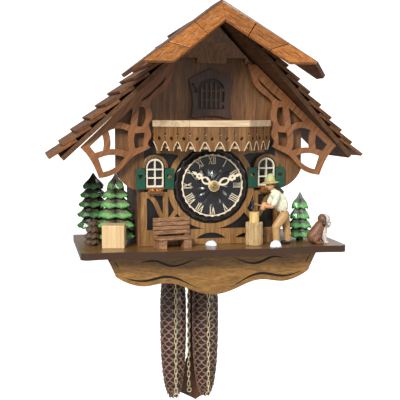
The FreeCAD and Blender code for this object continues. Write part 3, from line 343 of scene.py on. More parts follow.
def spindle(a, b, across, out, wide, deep):
    """A pointed cutter from a to b, as a knife cut leaves."""
    points, faces, steps = [a], [], 8
    for i in range(1, steps):
        t = i / steps
        half = wide / 2 * math.sin(math.pi * t)
        mid = a.lerp(b, t)
        points += [mid + across * half + out, mid - out * deep / out.length, mid - across * half + out]
    points.append(b)
    for i in range(steps - 2):
        for j in range(3):
            p, q = 1 + 3 * i + j, 1 + 3 * i + (j + 1) % 3
            faces.append((p, q, q + 3, p + 3))
    last = len(points) - 1
    for j in range(3):
        faces.append((0, 1 + (j + 1) % 3, 1 + j))
        faces.append((last, last - 3 + j, last - 3 + (j + 1) % 3))
    return points, faces


def cut_away(piece, cutter):
    knife = piece.modifiers.new("cuts", "BOOLEAN")
    knife.object = cutter
    knife.solver = "EXACT"
    knife.material_mode = "TRANSFER"
    settle(piece)
    bpy.data.objects.remove(cutter)


for side, word in ((-1, "left"), (1, "right")):
    honey = wood("visor " + word, (0.224, 0.063, 0.008), (0.560, 0.200, 0.031), along="X",
                 turn=side * math.radians(36.5), grain=0.0035, stretch=14, rough=0.32, coat=0.5)
    by_island(honey, 0.18)
    # The knife cuts are coloured by side: pale on the left board as a painted highlight, near black on the right
    # board as painted shade.
    cut_highlight_and_shade = wood("visor cuts " + word, (0.60, 0.42, 0.25), (0.85, 0.66, 0.45), rough=0.6, coat=0.0) \
        if side < 0 else wood("visor cuts " + word, (0.03, 0.012, 0.005), (0.09, 0.04, 0.015), coat=0.0)
    points, faces, cuts, cut_faces = [], [], [], []
    seams = (0.0, 0.36, 0.70, 1.0)
    for first, last in zip(seams, seams[1:]):
        lo = first + (0.004 if first > 0 else 0.0008)
        hi = last - (0.004 if last < 1 else 0)
        base = len(points)
        for t, s in ((lo, 0), (hi, 0), (hi, 1), (lo, 1)):
            face = visor_point(t, s)
            points += [face, face - visor_normal * VISOR_THICK]
        a = base
        faces += [(a, a + 2, a + 4, a + 6), (a + 1, a + 7, a + 5, a + 3)]
        faces += [(a + 2 * i, a + 2 * i + 1, a + (2 * i + 3) % 8, a + (2 * i + 2) % 8) for i in range(4)]
        for s, shift in ((0.36, 0.10), (0.66, 0.34)):
            start = visor_point(first + (last - first) * shift, s + 0.03)
            end = visor_point(first + (last - first) * (shift + 0.50), s - 0.03)
            along = (end - start).normalized()
            across = along.cross(visor_normal).normalized()
            more, more_faces = spindle(start, end, across, visor_normal * 1.0, 1.7, 1.1)
            cut_faces += [tuple(i + len(cuts) for i in face) for face in more_faces]
            cuts += more
    board = piece_of("visor_planks_" + word, [at(side * p.x, p.y, p.z) for p in points], faces, honey)
    knife = piece_of("visor_knife", [at(side * p.x, p.y, p.z) for p in cuts], cut_faces, cut_highlight_and_shade)
    outward(board)
    outward(knife)
    soften(board, 0.0006)
    settle(board)
    cut_away(board, knife)
    fit(board, "case", "visor_wood", "visor_board_" + word)


# Fretwork brackets, timber framing and the dial's surround: jigsawn ply overlays, stained,
# with the saw cut showing lighter on the edges of the brackets.
fret_ply = wood("fretwork ply", (0.168, 0.054, 0.012), (0.358, 0.135, 0.036), along="Z", turn=0.6,
                rough=0.45, edge=(0.24, 0.12, 0.06))
dress(fret_ply, "fretwork_left", "fretwork_right")
framing_oak = wood("framing oak", (0.190, 0.082, 0.020), (0.430, 0.220, 0.065), rough=0.42,
                   edge=(0.10, 0.045, 0.018))
dress(framing_oak, "timber_framing")


# Stage and apron: golden stained board with a darker rounded edge, which is painted shade; the
# apron has knife grooves, with painted shade on every face that lies deeper than its front.
stage_stain = wood("stage board", (0.120, 0.050, 0.011), (0.290, 0.140, 0.036), along="X",
                   rough=0.34, coat=0.45)


def shadow_edge(stuff, tone):
    """Painted shade on the edge: the more upright a face, the nearer its colour comes to the dark tone."""
    tree = stuff.node_tree
    new, link = tree.nodes.new, tree.links.new
    shader = tree.nodes["Principled BSDF"]
    old = shader.inputs["Base Color"].links[0].from_socket
    spot, split, up = new("ShaderNodeTexCoord"), new("ShaderNodeSeparateXYZ"), new("ShaderNodeMath")
    link(spot.outputs["Normal"], split.inputs["Vector"])
    up.operation = "ABSOLUTE"
    link(split.outputs["Z"], up.inputs[0])
    mix = new("ShaderNodeMix")
    mix.data_type = "RGBA"
    mix.inputs["A"].default_value = (*tone, 1)
    link(up.outputs["Value"], mix.inputs["Factor"])
    link(old, mix.inputs["B"])
    link(mix.outputs["Result"], shader.inputs["Base Color"])
    return stuff


# The stage board's upright edge takes painted shade.
shadow_edge(stage_stain, (0.050, 0.018, 0.006))
dress(stage_stain, "base_platform")
apron_stain = wood("apron board", (0.190, 0.084, 0.018), (0.430, 0.215, 0.050), along="X", grain=0.006,
                   stretch=7, rough=0.33, coat=0.5)


def paint_shade_behind_face(stuff, depth_y, tone):
    """Painted shade: every face that lies deeper than the front face is given the dark tone."""
    tree = stuff.node_tree
    new, link = tree.nodes.new, tree.links.new
    shader = tree.nodes["Principled BSDF"]
    old = shader.inputs["Base Color"].links[0].from_socket
    spot, split, deep = new("ShaderNodeTexCoord"), new("ShaderNodeSeparateXYZ"), new("ShaderNodeMath")
    link(spot.outputs["Object"], split.inputs["Vector"])
    deep.operation = "GREATER_THAN"
    deep.inputs[1].default_value = depth_y
    link(split.outputs["Y"], deep.inputs[0])
    mix = new("ShaderNodeMix")
    mix.data_type = "RGBA"
    link(deep.outputs["Value"], mix.inputs["Factor"])
    link(old, mix.inputs["A"])
    mix.inputs["B"].default_value = (*tone, 1)
    link(mix.outputs["Result"], shader.inputs["Base Color"])
    return stuff


# Painted shade in the apron's cuts: every face deeper than the front goes near black.
paint_shade_behind_face(apron_stain, at(0, -21.7, 0).y, (0.012, 0.006, 0.003))
dress(apron_stain, "apron_board")


# Balcony: pale lime-wood rail and floor; the baluster boards are stained on the face only,
# so every jigsawn edge stays pale.
rail_wood = wood("rail wood", (0.533, 0.361, 0.202), (0.776, 0.598, 0.386), along="X", rough=0.45, coat=0.2,
                 pores=0.85)
dress(rail_wood, "balcony_frame")
baluster_stain = wood("baluster board", (0.115, 0.046, 0.011), (0.320, 0.145, 0.038), rough=0.45,
                      edge=(0.66, 0.46, 0.27))
dress(baluster_stain, "balcony_balusters")
seam_black = wood("seam", (0.012, 0.006, 0.003), (0.030, 0.014, 0.007), rough=0.8, coat=0.0)


def gather(name, parts, *stuffs):
    """One piece from several loose parts."""
    points, faces = [], []
    for part in parts:
        faces += [tuple(i + len(points) for i in face) for face in part[1]]
        points += part[0]
    return outward(piece_of(name, points, faces, *stuffs))


def ribbon(spots, near, far):
    """A thin strip on a board: spots turns a (along, out, height) triple into a place."""
    count = len(near)
    points = [at(*spots(s, out, z)) for out in (-0.3, 0.3) for edge in (near, far) for s, z in edge]
    faces = []
    for i in range(count - 1):
        ring = (i, i + count, i + 3 * count, i + 2 * count)
        faces += [(ring[k], ring[(k + 1) % 4], ring[(k + 1) % 4] + 1, ring[k] + 1) for k in range(4)]
    faces += [(0, 2 * count, 3 * count, count), (count - 1, 2 * count - 1, 4 * count - 1, 3 * count - 1)]
    return points, faces


def arch_side(middle, side, away):
    """One flank of an ogee arch, from its foot to its point, moved off the opening."""
    curve = []
    for k in range(9):
        u = k / 8
        parts = ((u - 0.4) * (u - 1) / 0.4, u * (u - 1) / (0.4 * -0.6), u * (u - 0.4) / 0.6)
        curve.append(Vector((sum(p * q for p, q in zip(parts, (5.2, 3.6, 0.0))),
                             sum(p * q for p, q in zip(parts, (39.0, 43.5, 49.5))))))
    moved = []
    for k, spot in enumerate(curve):
        run = (curve[min(k + 1, 8)] - curve[max(k - 1, 0)]).normalized()
        spot = spot + Vector((run.y, -run.x)) * away
        moved.append((middle + side * max(spot.x, 0), max(spot.y, 39.9)))
    return moved


arches, seams = [], []
FRONTS = ((-66.5, -10.2), (-32.6, -48.0), (32.6, -48.0), (66.5, -10.2))
for (x0, y0), (x1, y1) in zip(FRONTS, FRONTS[1:]):
    length = math.hypot(x1 - x0, y1 - y0)
    ax, ay = (x1 - x0) / length, (y1 - y0) / length
    boards = round(length / 16)

    def on_front(s, out, z):
        return x0 + ax * s + ay * out, y0 + ay * s - ax * out, z

    for k in range(boards + 1):
        middle = length / boards * k
        if k > 0:
            arches.append(ribbon(on_front, arch_side(middle, -1, 0.05), arch_side(middle, -1, 1.15)))
        if k < boards:
            arches.append(ribbon(on_front, arch_side(middle, 1, 0.05), arch_side(middle, 1, 1.15)))
        if 0 < k < boards:
            for low, high in ((51.0, 56.2), (59.8, 65.9)):
                seams.append(ribbon(on_front, [(middle - 0.35, low), (middle - 0.35, high)],
                                    [(middle + 0.35, low), (middle + 0.35, high)]))
fit(gather("balcony_arch_edges", arches, rail_wood), "case", "balcony_wood")
fit(gather("balcony_seams", seams, seam_black), "case", "balcony_wood")


# Cuckoo's doorway: a dark shaped frame glued to the gable, and a door with a turned grille
# that hangs on its right edge.
frame_stain = wood("door frame", (0.058, 0.024, 0.013), (0.130, 0.062, 0.036), rough=0.42)
door_stain = wood("door", (0.080, 0.030, 0.014), (0.180, 0.078, 0.038), grain=0.003, rough=0.40)
dress(frame_stain, "cuckoo_door_frame")
# Painted shade behind the grille: every face of the door deeper than its front goes near black.
paint_shade_behind_face(door_stain, at(0, -2.45, 0).y, (0.010, 0.006, 0.004))
dress(door_stain, "cuckoo_door")


# Windows: cream frames and glazing bars, a brown arched hood and sill, dark panes, and green
# shutters with a heart sawn through each.
def loose_parts(node):
    """The loose solids of a CAD node, as merged meshes: points, faces and the middle of each."""
    bm = bmesh.new()
    bm.from_mesh(NODES[node].data)
    bmesh.ops.remove_doubles(bm, verts=bm.verts, dist=0.00002)
    left = set(bm.verts)
    parts = []
    while left:
        stack, island = [left.pop()], []
        while stack:
            vert = stack.pop()
            island.append(vert)
            for edge in vert.link_edges:
                other = edge.other_vert(vert)
                if other in left:
                    left.discard(other)
                    stack.append(other)
        index = {vert: i for i, vert in enumerate(island)}
        faces = {face for vert in island for face in vert.link_faces}
        points = [vert.co.copy() for vert in island]
        middle = sum(points, Vector()) / len(points)
        low = Vector([min(p[i] for p in points) for i in range(3)])
        high = Vector([max(p[i] for p in points) for i in range(3)])
        parts.append((points, [tuple(index[v] for v in face.verts) for face in faces], middle, low, high))
    bm.free()
    return parts


def paint(name, tone, rough=0.4, coat=0.2, mottle=0.12, scale=260, relief=0.08):
    """Brushed paint over wood: slightly uneven in tone and sheen."""
    stuff = bpy.data.materials.new(name)
    stuff.use_nodes = True
    tree = stuff.node_tree
    new, link = tree.nodes.new, tree.links.new
    shader = tree.nodes["Principled BSDF"]
    shader.inputs["Coat Weight"].default_value = coat
    spot, cloud = new("ShaderNodeTexCoord"), new("ShaderNodeTexNoise")
    cloud.inputs["Scale"].default_value = scale
    cloud.inputs["Detail"].default_value = 5
    link(spot.outputs["Object"], cloud.inputs["Vector"])
    shade = new("ShaderNodeValToRGB")
    ends = shade.color_ramp.elements
    ends[0].position, ends[0].color = 0.3, (*[c * (1 - mottle * 2) for c in tone], 1)
    ends[1].position, ends[1].color = 0.7, (*[min(1, c * (1 + mottle)) for c in tone], 1)
    link(cloud.outputs["Fac"], shade.inputs["Fac"])
    link(shade.outputs["Color"], shader.inputs["Base Color"])
    sheen = new("ShaderNodeMapRange")
    sheen.inputs["To Min"].default_value = rough - 0.1
    sheen.inputs["To Max"].default_value = rough + 0.15
    link(cloud.outputs["Fac"], sheen.inputs["Value"])
    link(sheen.outputs["Result"], shader.inputs["Roughness"])
    bump = new("ShaderNodeBump")
    bump.inputs["Strength"].default_value = relief
    bump.inputs["Distance"].default_value = 0.0004
    link(cloud.outputs["Fac"], bump.inputs["Height"])
    link(bump.outputs["Normal"], shader.inputs["Normal"])
    return stuff


cream = paint("cream paint", (0.78, 0.69, 0.52), rough=0.45)
green = paint("shutter green", (0.004, 0.070, 0.036), rough=0.35, coat=0.3)
pane_black = paint("dark panes", (0.010, 0.011, 0.014), rough=0.12, coat=0.6, relief=0.02)
hood_brown = wood("window hoods", (0.118, 0.049, 0.012), (0.250, 0.117, 0.031), grain=0.003, rough=0.45)
frames, hoods, shutters = [], [], []
for part in loose_parts("windows"):
    low, high = part[3], part[4]
    deep = high.y - low.y
    if deep < 0.003:
        shutters.append(part)
    elif 0.0055 < deep < 0.0063:
        frames.append(part)
    else:
        hoods.append(part)
fit(soften(gather("window_frames", frames, cream), 0.0003), "case", "window_wood", "windows")
fit(soften(gather("window_hoods_and_sills", hoods, hood_brown), 0.0004), "case", "window_wood")
fit(soften(gather("shutters", shutters, green), 0.0003), "case", "window_wood")
for side, word in ((-1, "left"), (1, "right")):
    outline = [(-9.2, -1.2), (9.2, -1.2), (9.2, 20)]
    outline += [(9.2 * math.cos(a), 20 + 10.0 * math.sin(a)) for a in (0.4, 0.8, 1.2, 1.57, 1.94, 2.34, 2.74)]
    outline.append((-9.2, 20))
    pane = [at(side * 64 + x, -1.6, z) for x, z in outline]
    back = [at(side * 64 + x, -0.4, z) for x, z in outline]
    n = len(outline)
    faces = [tuple(range(n)), tuple(range(2 * n - 1, n - 1, -1))]
    faces += [(i, i + n, (i + 1) % n + n, (i + 1) % n) for i in range(n)]
    glass = outward(piece_of("window_panes_" + word, pane + back, faces, pane_black))
    fit(glass, "case", "window_wood")


# Flower boxes: a brown planter under each window, packed with little wooden blossoms, red
# and yellow over green.
def set_out(name, unit, spots, stuff):
    """Copies of a small shape, set out on points that each carry a turn and a size."""
    holder = bpy.data.meshes.new(name + " points")
    holder.from_pydata([tuple(p) for p, turn, size in spots], [], [])
    turns = holder.attributes.new("turn", "FLOAT_VECTOR", "POINT")
    sizes = holder.attributes.new("size", "FLOAT_VECTOR", "POINT")
    for i, (p, turn, size) in enumerate(spots):
        turns.data[i].vector = turn
        sizes.data[i].vector = size
    made = bpy.data.objects.new(name, holder)
    bpy.context.scene.collection.objects.link(made)
    tree = bpy.data.node_groups.new(name + " set out", "GeometryNodeTree")
    face = tree.interface
    face.new_socket("Points", in_out="INPUT", socket_type="NodeSocketGeometry")
    unit_in = face.new_socket("Unit", in_out="INPUT", socket_type="NodeSocketObject")
    finish_in = face.new_socket("Finish", in_out="INPUT", socket_type="NodeSocketMaterial")
    scale_in = face.new_socket("Overall size", in_out="INPUT", socket_type="NodeSocketFloat")
    face.new_socket("Geometry", in_out="OUTPUT", socket_type="NodeSocketGeometry")
    new, link = tree.nodes.new, tree.links.new
    given, out = new("NodeGroupInput"), new("NodeGroupOutput")
    thing = new("GeometryNodeObjectInfo")
    link(given.outputs["Unit"], thing.inputs["Object"])
    turn = new("GeometryNodeInputNamedAttribute")
    turn.data_type = "FLOAT_VECTOR"
    turn.inputs["Name"].default_value = "turn"
    as_turn = new("FunctionNodeEulerToRotation")
    link(turn.outputs["Attribute"], as_turn.inputs["Euler"])
    size = new("GeometryNodeInputNamedAttribute")
    size.data_type = "FLOAT_VECTOR"
    size.inputs["Name"].default_value = "size"
    grown = new("ShaderNodeVectorMath")
    grown.operation = "SCALE"
    link(size.outputs["Attribute"], grown.inputs[0])
    link(given.outputs["Overall size"], grown.inputs["Scale"])
    spread = new("GeometryNodeInstanceOnPoints")
    link(given.outputs["Points"], spread.inputs["Points"])
    link(thing.outputs["Geometry"], spread.inputs["Instance"])
    link(as_turn.outputs["Rotation"], spread.inputs["Rotation"])
    link(grown.outputs["Vector"], spread.inputs["Scale"])
    real, skin = new("GeometryNodeRealizeInstances"), new("GeometryNodeSetMaterial")
    link(spread.outputs["Instances"], real.inputs["Geometry"])
    link(real.outputs["Geometry"], skin.inputs["Geometry"])
    link(given.outputs["Finish"], skin.inputs["Material"])
    link(skin.outputs["Geometry"], out.inputs["Geometry"])
    use = made.modifiers.new("set out", "NODES")
    use.node_group = tree
    use[unit_in.identifier] = unit
    use[finish_in.identifier] = stuff
    use[scale_in.identifier] = 0.001
    settle(made)
    bpy.data.objects.remove(unit)
    return made


def unit_shape(points, faces, smooth=False):
    return outward(piece_of("unit", points, faces, smooth=smooth), merge=0.0000001)


def petal_ball():
    """A blossom: a low faceted dome with five notches."""
    points, faces, n = [Vector((0, 0, 1))], [], 10
    for i in range(n):
        a, r = 2 * math.pi * i / n, (1.0 if i % 2 else 0.72)
        points.append(Vector((r * math.cos(a), r * math.sin(a), 0.45)))
    for i in range(n):
        a, r = 2 * math.pi * i / n, (0.7 if i % 2 else 0.5)
        points.append(Vector((r * math.cos(a), r * math.sin(a), -0.4)))
    for i in range(n):
        j = (i + 1) % n
        faces += [(0, 1 + i, 1 + j), (1 + i, 1 + n + i, 1 + n + j, 1 + j)]
    faces.append(tuple(1 + n + i for i in reversed(range(n))))
    return unit_shape(points, faces)


planter_brown = wood("planter", (0.111, 0.042, 0.009), (0.236, 0.099, 0.024), along="X", grain=0.002)
troughs = []
for side in (-1, 1):
    x = side * 64
    box = [at(x + sx * (8.6 if top else 7.6), -4.2 - 5.2 * sy, -5.4 if top else -9.2)
           for top in (0, 1) for sx, sy in ((-1, 0), (1, 0), (1, 1), (-1, 1))]
    faces = [(3, 2, 1, 0), (4, 5, 6, 7), (0, 1, 5, 4), (1, 2, 6, 5), (2, 3, 7, 6), (3, 0, 4, 7)]
    troughs.append((box, faces))
fit(soften(gather("planters", troughs, planter_brown), 0.0004), "case", "flower_paint", "flower_boxes")
chance = random.Random(5)
for word, tone, count in (("red", (0.62, 0.020, 0.012), 13), ("yellow", (0.85, 0.48, 0.03), 7),
                          ("green", (0.05, 0.22, 0.04), 9)):
    spots = []
    for side in (-1, 1):
        for i in range(count):
            x = side * 64 + chance.uniform(-7.6, 7.6)
            z = -6.0 if word == "green" else chance.uniform(-5.8, -4.0)
            spots.append((at(x, chance.uniform(-9.7, -6.4), z),
                          (chance.uniform(0.5, 1.5), chance.uniform(-0.5, 0.5), chance.uniform(0, 3)),
                          (1.05, 1.05, 0.8)))
    blossoms = set_out("blossoms_" + word, petal_ball(), spots, paint("blossom " + word, tone))
    fit(blossoms, "case", "flower_paint")


# Dial: a scalloped black board, and a turned disc with carved petals round a raised boss,
# stained black and polished.  The ring, numerals and hands are moulded in cream plastic.
def polar(name, rings, columns, stuff):
    """A closed turned piece facing the viewer: each ring gives radius and height for an angle."""
    points, faces = [], []
    for ring in rings:
        for k in range(columns):
            a = 2 * math.pi * k / columns
            r, out = ring(a)
            points.append(at(r * math.sin(a), -out, r * math.cos(a)))
    for i in range(len(rings) - 1):
        for k in range(columns):
            j = (k + 1) % columns
            faces.append((i * columns + k, i * columns + j, (i + 1) * columns + j, (i + 1) * columns + k))
    faces.append(tuple(range(columns)))
    faces.append(tuple((len(rings) - 1) * columns + k for k in range(columns)))
    return outward(piece_of(name, points, faces, stuff, smooth=True), merge=FINE_MERGE)


def flat_ring(radius, out):
    """A ring of points round the dial, at one radius."""
    return lambda a: (radius, out)


def scallop(radius, out, depth=1.0):
    """A ring of points round the dial with eighteen shallow lobes."""
    return lambda a: (radius + depth * math.cos(18 * (a - math.pi / 2)), out)


def petal(radius, low, high, twist):
    """Ring of twelve carved petals: each swells in the middle and is cut down at its sides."""
    def height(a):
        phase = (a * 12 / (2 * math.pi) + twist) % 1.0
        return radius, low + (high - low) * math.sin(math.pi * phase) ** 0.6
    return height


board_black = paint("dial board black", (0.017, 0.011, 0.009), rough=0.26, coat=0.6, relief=0.3)
dial_black = paint("dial black", (0.012, 0.012, 0.014), rough=0.20, coat=0.8, relief=0.15)
board_rings = [scallop(41.6, 0.1), scallop(42.0, 1.6), scallop(41.4, 3.2), scallop(40.2, 4.1, 0.9),
               scallop(38.4, 3.5, 0.7), scallop(36.6, 3.0, 0.3), flat_ring(34.8, 3.0)]
fit(polar("dial_surround_board", board_rings, 144, board_black), "case", "surround_wood", "dial_surround")
disc_rings = [flat_ring(34.5, 4.3), flat_ring(34.5, 7.8), flat_ring(33.2, 8.9), flat_ring(31.5, 9.2),
              flat_ring(24.6, 8.0), petal(23.2, 6.8, 7.9, 0.0), petal(20.0, 6.0, 7.8, 0.06),
              petal(16.5, 5.8, 8.0, 0.14), petal(12.8, 6.4, 8.8, 0.26), petal(9.4, 8.0, 9.8, 0.42),
              flat_ring(7.4, 10.4), flat_ring(6.2, 11.0), flat_ring(3.2, 11.2)]
fit(polar("dial_rosette", disc_rings, 144, dial_black), "case", "dial_wood", "dial_disc")
ivory = paint("ivory plastic", (0.80, 0.68, 0.49), rough=0.32, coat=0.35, mottle=0.05, relief=0.04)


def chapter_wave(a):
    """Outer edge of the ring: thirty small points with hollows between."""
    return 34.5 + 0.9 * (1 - abs(math.sin(15 * a)))


rows = ((33.2, 9.7), (33.2, 10.9), (33.6, 11.2), (None, 11.0), (None, 9.7))
points, faces, COLUMNS = [], [], 240
for radius, out in rows:
    for k in range(COLUMNS):
        a = 2 * math.pi * k / COLUMNS
        r = radius or chapter_wave(a)
        points.append(at(r * math.sin(a), -out, r * math.cos(a)))
for i in range(5):
    for k in range(COLUMNS):
        j, n = (k + 1) % COLUMNS, (i + 1) % 5
        faces.append((i * COLUMNS + k, i * COLUMNS + j, n * COLUMNS + j, n * COLUMNS + k))
fit(outward(piece_of("chapter_ring_wave", points, faces, ivory)), "case", "ivory_plastic", "chapter_ring")


def bar(hour, x0, z0, x1, z1, width):
    """One stroke of a numeral, lying on the dial and turned to its hour."""
    along = Vector((x1 - x0, z1 - z0)).normalized()
    aside = Vector((-along.y, along.x)) * width / 2
    turn = -math.pi / 6 * hour
    corners = []
    for out in (9.3, 10.7):
        for x, z in ((x0 - aside.x, z0 - aside.y), (x1 - aside.x, z1 - aside.y),
                     (x1 + aside.x, z1 + aside.y), (x0 + aside.x, z0 + aside.y)):
            corners.append(at(x * math.cos(turn) - z * math.sin(turn), -out,
                              x * math.sin(turn) + z * math.cos(turn)))
    return corners, [(3, 2, 1, 0), (4, 5, 6, 7), (0, 1, 5, 4), (1, 2, 6, 5), (2, 3, 7, 6), (3, 0, 4, 7)]


strokes = []
for hour, text in enumerate(("XII", "I", "II", "III", "IIII", "V", "VI", "VII", "VIII", "IX", "X", "XI")):
    widths = {"I": 2.1, "V": 4.3, "X": 4.3}
    left = -sum(widths[letter] for letter in text) / 2
    for letter in text:
        middle = left + widths[letter] / 2
        if letter == "I":
            strokes.append(bar(hour, middle, 24.2, middle, 32.4, 0.85))
            strokes += [bar(hour, middle - 0.95, z, middle + 0.95, z, 0.5) for z in (24.3, 32.3)]
        else:
            foot = 0.0 if letter == "V" else 1.5
            strokes.append(bar(hour, middle + foot, 24.2, middle - 1.5, 32.4, 0.95))
            strokes.append(bar(hour, middle - foot, 24.2, middle + 1.5, 32.4, 0.6))
            strokes += [bar(hour, middle + s - 0.8, 32.3, middle + s + 0.8, 32.3, 0.5) for s in (-1.5, 1.5)]
            if letter == "X":
                strokes += [bar(hour, middle + s - 0.8, 24.3, middle + s + 0.8, 24.3, 0.5) for s in (-1.5, 1.5)]
        left += widths[letter]
fit(gather("roman_numerals", strokes, ivory), "case", "ivory_plastic")


TURNS = [2 * math.pi * i / 32 for i in range(32)]
BLADE_HALF = 0.6


def fret_hand(name, length, front, degrees, body, node):
    """A pierced hand: a neck, an open eye, a waist, an open four-lobed flower and a spear."""
    k = length / 33.5
    edge = [(1.6, 4.0), (1.5, 5.6), (2.5, 7.6), (3.9, 10.5), (4.2, 13.4), (3.0, 16.4), (1.5, 18.2), (1.3, 19.0),
            (2.5, 19.9), (3.6, 21.4), (2.6, 22.7), (3.5, 24.2), (2.2, 25.8), (1.0, 26.6), (0.9, 27.6), (1.7, 28.8),
            (1.1, 30.6), (0.25, 33.4)]
    outline = [(x, z * k) for x, z in edge] + [(-x, z * k) for x, z in reversed(edge)]
    eye = [(2.3 * math.sin(t) * (1 - 0.25 * math.cos(t)), (12.4 - 4.4 * math.cos(t)) * k) for t in TURNS]
    flower = [((1.1 + 0.45 * math.cos(4 * t)) * math.sin(t),
               (22.8 + (1.5 + 0.45 * math.cos(4 * t)) * math.cos(t)) * k) for t in TURNS]
    hub = [(5.9 * math.sin(t), 5.9 * math.cos(t)) for t in TURNS]
    made = []
    for loops, deep in (((outline, eye, flower), BLADE_HALF), ((hub,), 0.55)):
        data = bpy.data.curves.new(name, "CURVE")
        data.dimensions, data.fill_mode, data.extrude = "2D", "BOTH", deep / 1000
        data.bevel_depth = 0.00012
        for loop in loops:
            spline = data.splines.new("POLY")
            spline.points.add(len(loop) - 1)
            for point, (x, z) in zip(spline.points, loop):
                point.co = (x / 1000, z / 1000, 0, 1)
            spline.use_cyclic_u = True
        blank = bpy.data.objects.new(name, data)
        bpy.context.scene.collection.objects.link(blank)
        mesh = bpy.data.meshes.new_from_object(blank.evaluated_get(bpy.context.evaluated_depsgraph_get()))
        bpy.data.objects.remove(blank)
        turn = math.radians(degrees)
        points = [at(v.co.x * 1000 * math.cos(turn) + v.co.y * 1000 * math.sin(turn),
                     front - BLADE_HALF - v.co.z * 1000,
                     -v.co.x * 1000 * math.sin(turn) + v.co.y * 1000 * math.cos(turn)) for v in mesh.vertices]
        made.append((points, [tuple(face.vertices) for face in mesh.polygons]))
        bpy.data.meshes.remove(mesh)
    fit(gather(name, made, ivory), body, "ivory_plastic", node)


fret_hand("hour_hand_fret", 29.0, -16.6, -55.5, "hour_hand", "hour_hand")
fret_hand("minute_hand_fret", 33.5, -19.0, 66.0, "going_train", "minute_hand")


# Movement: brass plates and wheels behind the dial, a steel anchor, hammer and gong, and two
# raw limewood whistles with the painted bird between them.  The nut and a thin brass collet
# hold the hands.
def metal(name, tone, rough=0.3, tarnish=0.35, base=1.0):
    """Brushed or drawn metal with a little tarnish."""
    stuff = bpy.data.materials.new(name)
    stuff.use_nodes = True
    tree = stuff.node_tree
    new, link = tree.nodes.new, tree.links.new
    shader = tree.nodes["Principled BSDF"]
    shader.inputs["Metallic"].default_value = base
    spot, cloud, fine = new("ShaderNodeTexCoord"), new("ShaderNodeTexNoise"), new("ShaderNodeTexNoise")
    cloud.inputs["Scale"].default_value = 120
    cloud.inputs["Detail"].default_value = 4
    fine.inputs["Scale"].default_value = 900
    link(spot.outputs["Object"], cloud.inputs["Vector"])
    link(spot.outputs["Object"], fine.inputs["Vector"])
    shade = new("ShaderNodeValToRGB")
    ends = shade.color_ramp.elements
    ends[0].position, ends[0].color = 0.32, (*[c * (1 - tarnish) for c in tone], 1)
    ends[1].position, ends[1].color = 0.62, (*tone, 1)
    link(cloud.outputs["Fac"], shade.inputs["Fac"])
    link(shade.outputs["Color"], shader.inputs["Base Color"])
    sheen = new("ShaderNodeMapRange")
    sheen.inputs["To Min"].default_value = rough - 0.1
    sheen.inputs["To Max"].default_value = rough + 0.2
    link(fine.outputs["Fac"], sheen.inputs["Value"])
    link(sheen.outputs["Result"], shader.inputs["Roughness"])
    bump = new("ShaderNodeBump")
    bump.inputs["Strength"].default_value = 0.12
    bump.inputs["Distance"].default_value = 0.0002
    link(fine.outputs["Fac"], bump.inputs["Height"])
    link(bump.outputs["Normal"], shader.inputs["Normal"])
    return stuff


brass = metal("brass", (0.72, 0.52, 0.22))
steel = metal("steel wire", (0.42, 0.41, 0.40), rough=0.35)
black_steel = metal("blackened steel", (0.060, 0.055, 0.052), rough=0.42)
washer_rings = [flat_ring(5.2, 20.25), flat_ring(5.2, 20.7), flat_ring(4.6, 21.0), flat_ring(3.4, 20.8),
                flat_ring(2.6, 21.2), flat_ring(1.4, 21.2)]
fit(polar("hand_collet", washer_rings, 64, brass), "going_train", "brass_parts")
dress(brass, "hand_nut", "movement_plates", "chain_wheel_left", "chain_wheel_right", "centre_wheel",
      "escape_wheel")
dress(steel, "anchor", "gong_hammer", "gong")
dress(black_steel, "door_latch_wire")
whistle_wood = wood("whistle wood", (0.407, 0.266, 0.138), (0.640, 0.475, 0.285), rough=0.6, coat=0.0, pores=0.85)
dress(whistle_wood, "bellows_boxes", "bellows_top_left", "bellows_top_right")
dress(paint("bird paint", (0.45, 0.055, 0.025), rough=0.4), "cuckoo_bird")


# Pendulum: a flat stained rod that broadens below the case, and a leaf carved with a mid rib,
# side veins and a toothed edge.  A brass clip holds the leaf to the rod, so it can be slid.
pendulum_stain = wood("pendulum", (0.091, 0.029, 0.006), (0.208, 0.078, 0.017), grain=0.003, rough=0.42)
dress(pendulum_stain, "pendulum_rod")
LEAF_Y, CLIP_Y = 87.1, 90.0
LEAF = [(-279, 0.4), (-276, 6.0), (-273, 12.5), (-269, 19.5), (-266, 22.6), (-260, 23.8), (-254, 23.2),
        (-247, 21.2), (-240, 18.4), (-233, 15.2), (-227, 12.4), (-220, 10.0), (-214, 8.0), (-210, 0.4)]


def leaf_half_width(z):
    """Half width of the leaf at a height, with small lobes cut along the edge."""
    for (z0, w0), (z1, w1) in zip(LEAF, LEAF[1:]):
        if z <= z1:
            plain = w0 + (w1 - w0) * (z - z0) / (z1 - z0)
            return plain * (1 - 0.07 * abs(math.sin((z + 279) * 0.30)))
    return LEAF[-1][1]


points, faces = [], []
ROWS, ACROSS = 48, 16
for face_side in (-1, 1):
    for i in range(ROWS + 1):
        z = -279.0 + 69.0 * i / ROWS
        half = leaf_half_width(z)
        for k in range(ACROSS + 1):
            s = -1 + 2 * k / ACROSS
            vein = 0.55 * max(0.0, math.cos(2 * math.pi * (z / 8.0 - abs(s) * 1.4)))
            rib = 1.1 * math.exp(-(s * half / 1.6) ** 2)
            out = (0.55 + vein * (1 - abs(s)) + rib * 0.7) if face_side < 0 else 0.8
            points.append(at(s * half, LEAF_Y + face_side * out * (1 - 0.5 * abs(s) ** 3), z))
COUNT = (ROWS + 1) * (ACROSS + 1)
for i in range(ROWS):
    for k in range(ACROSS):
        a = i * (ACROSS + 1) + k
        faces.append((a, a + 1, a + ACROSS + 2, a + ACROSS + 1))
        faces.append((COUNT + a, COUNT + a + ACROSS + 1, COUNT + a + ACROSS + 2, COUNT + a + 1))
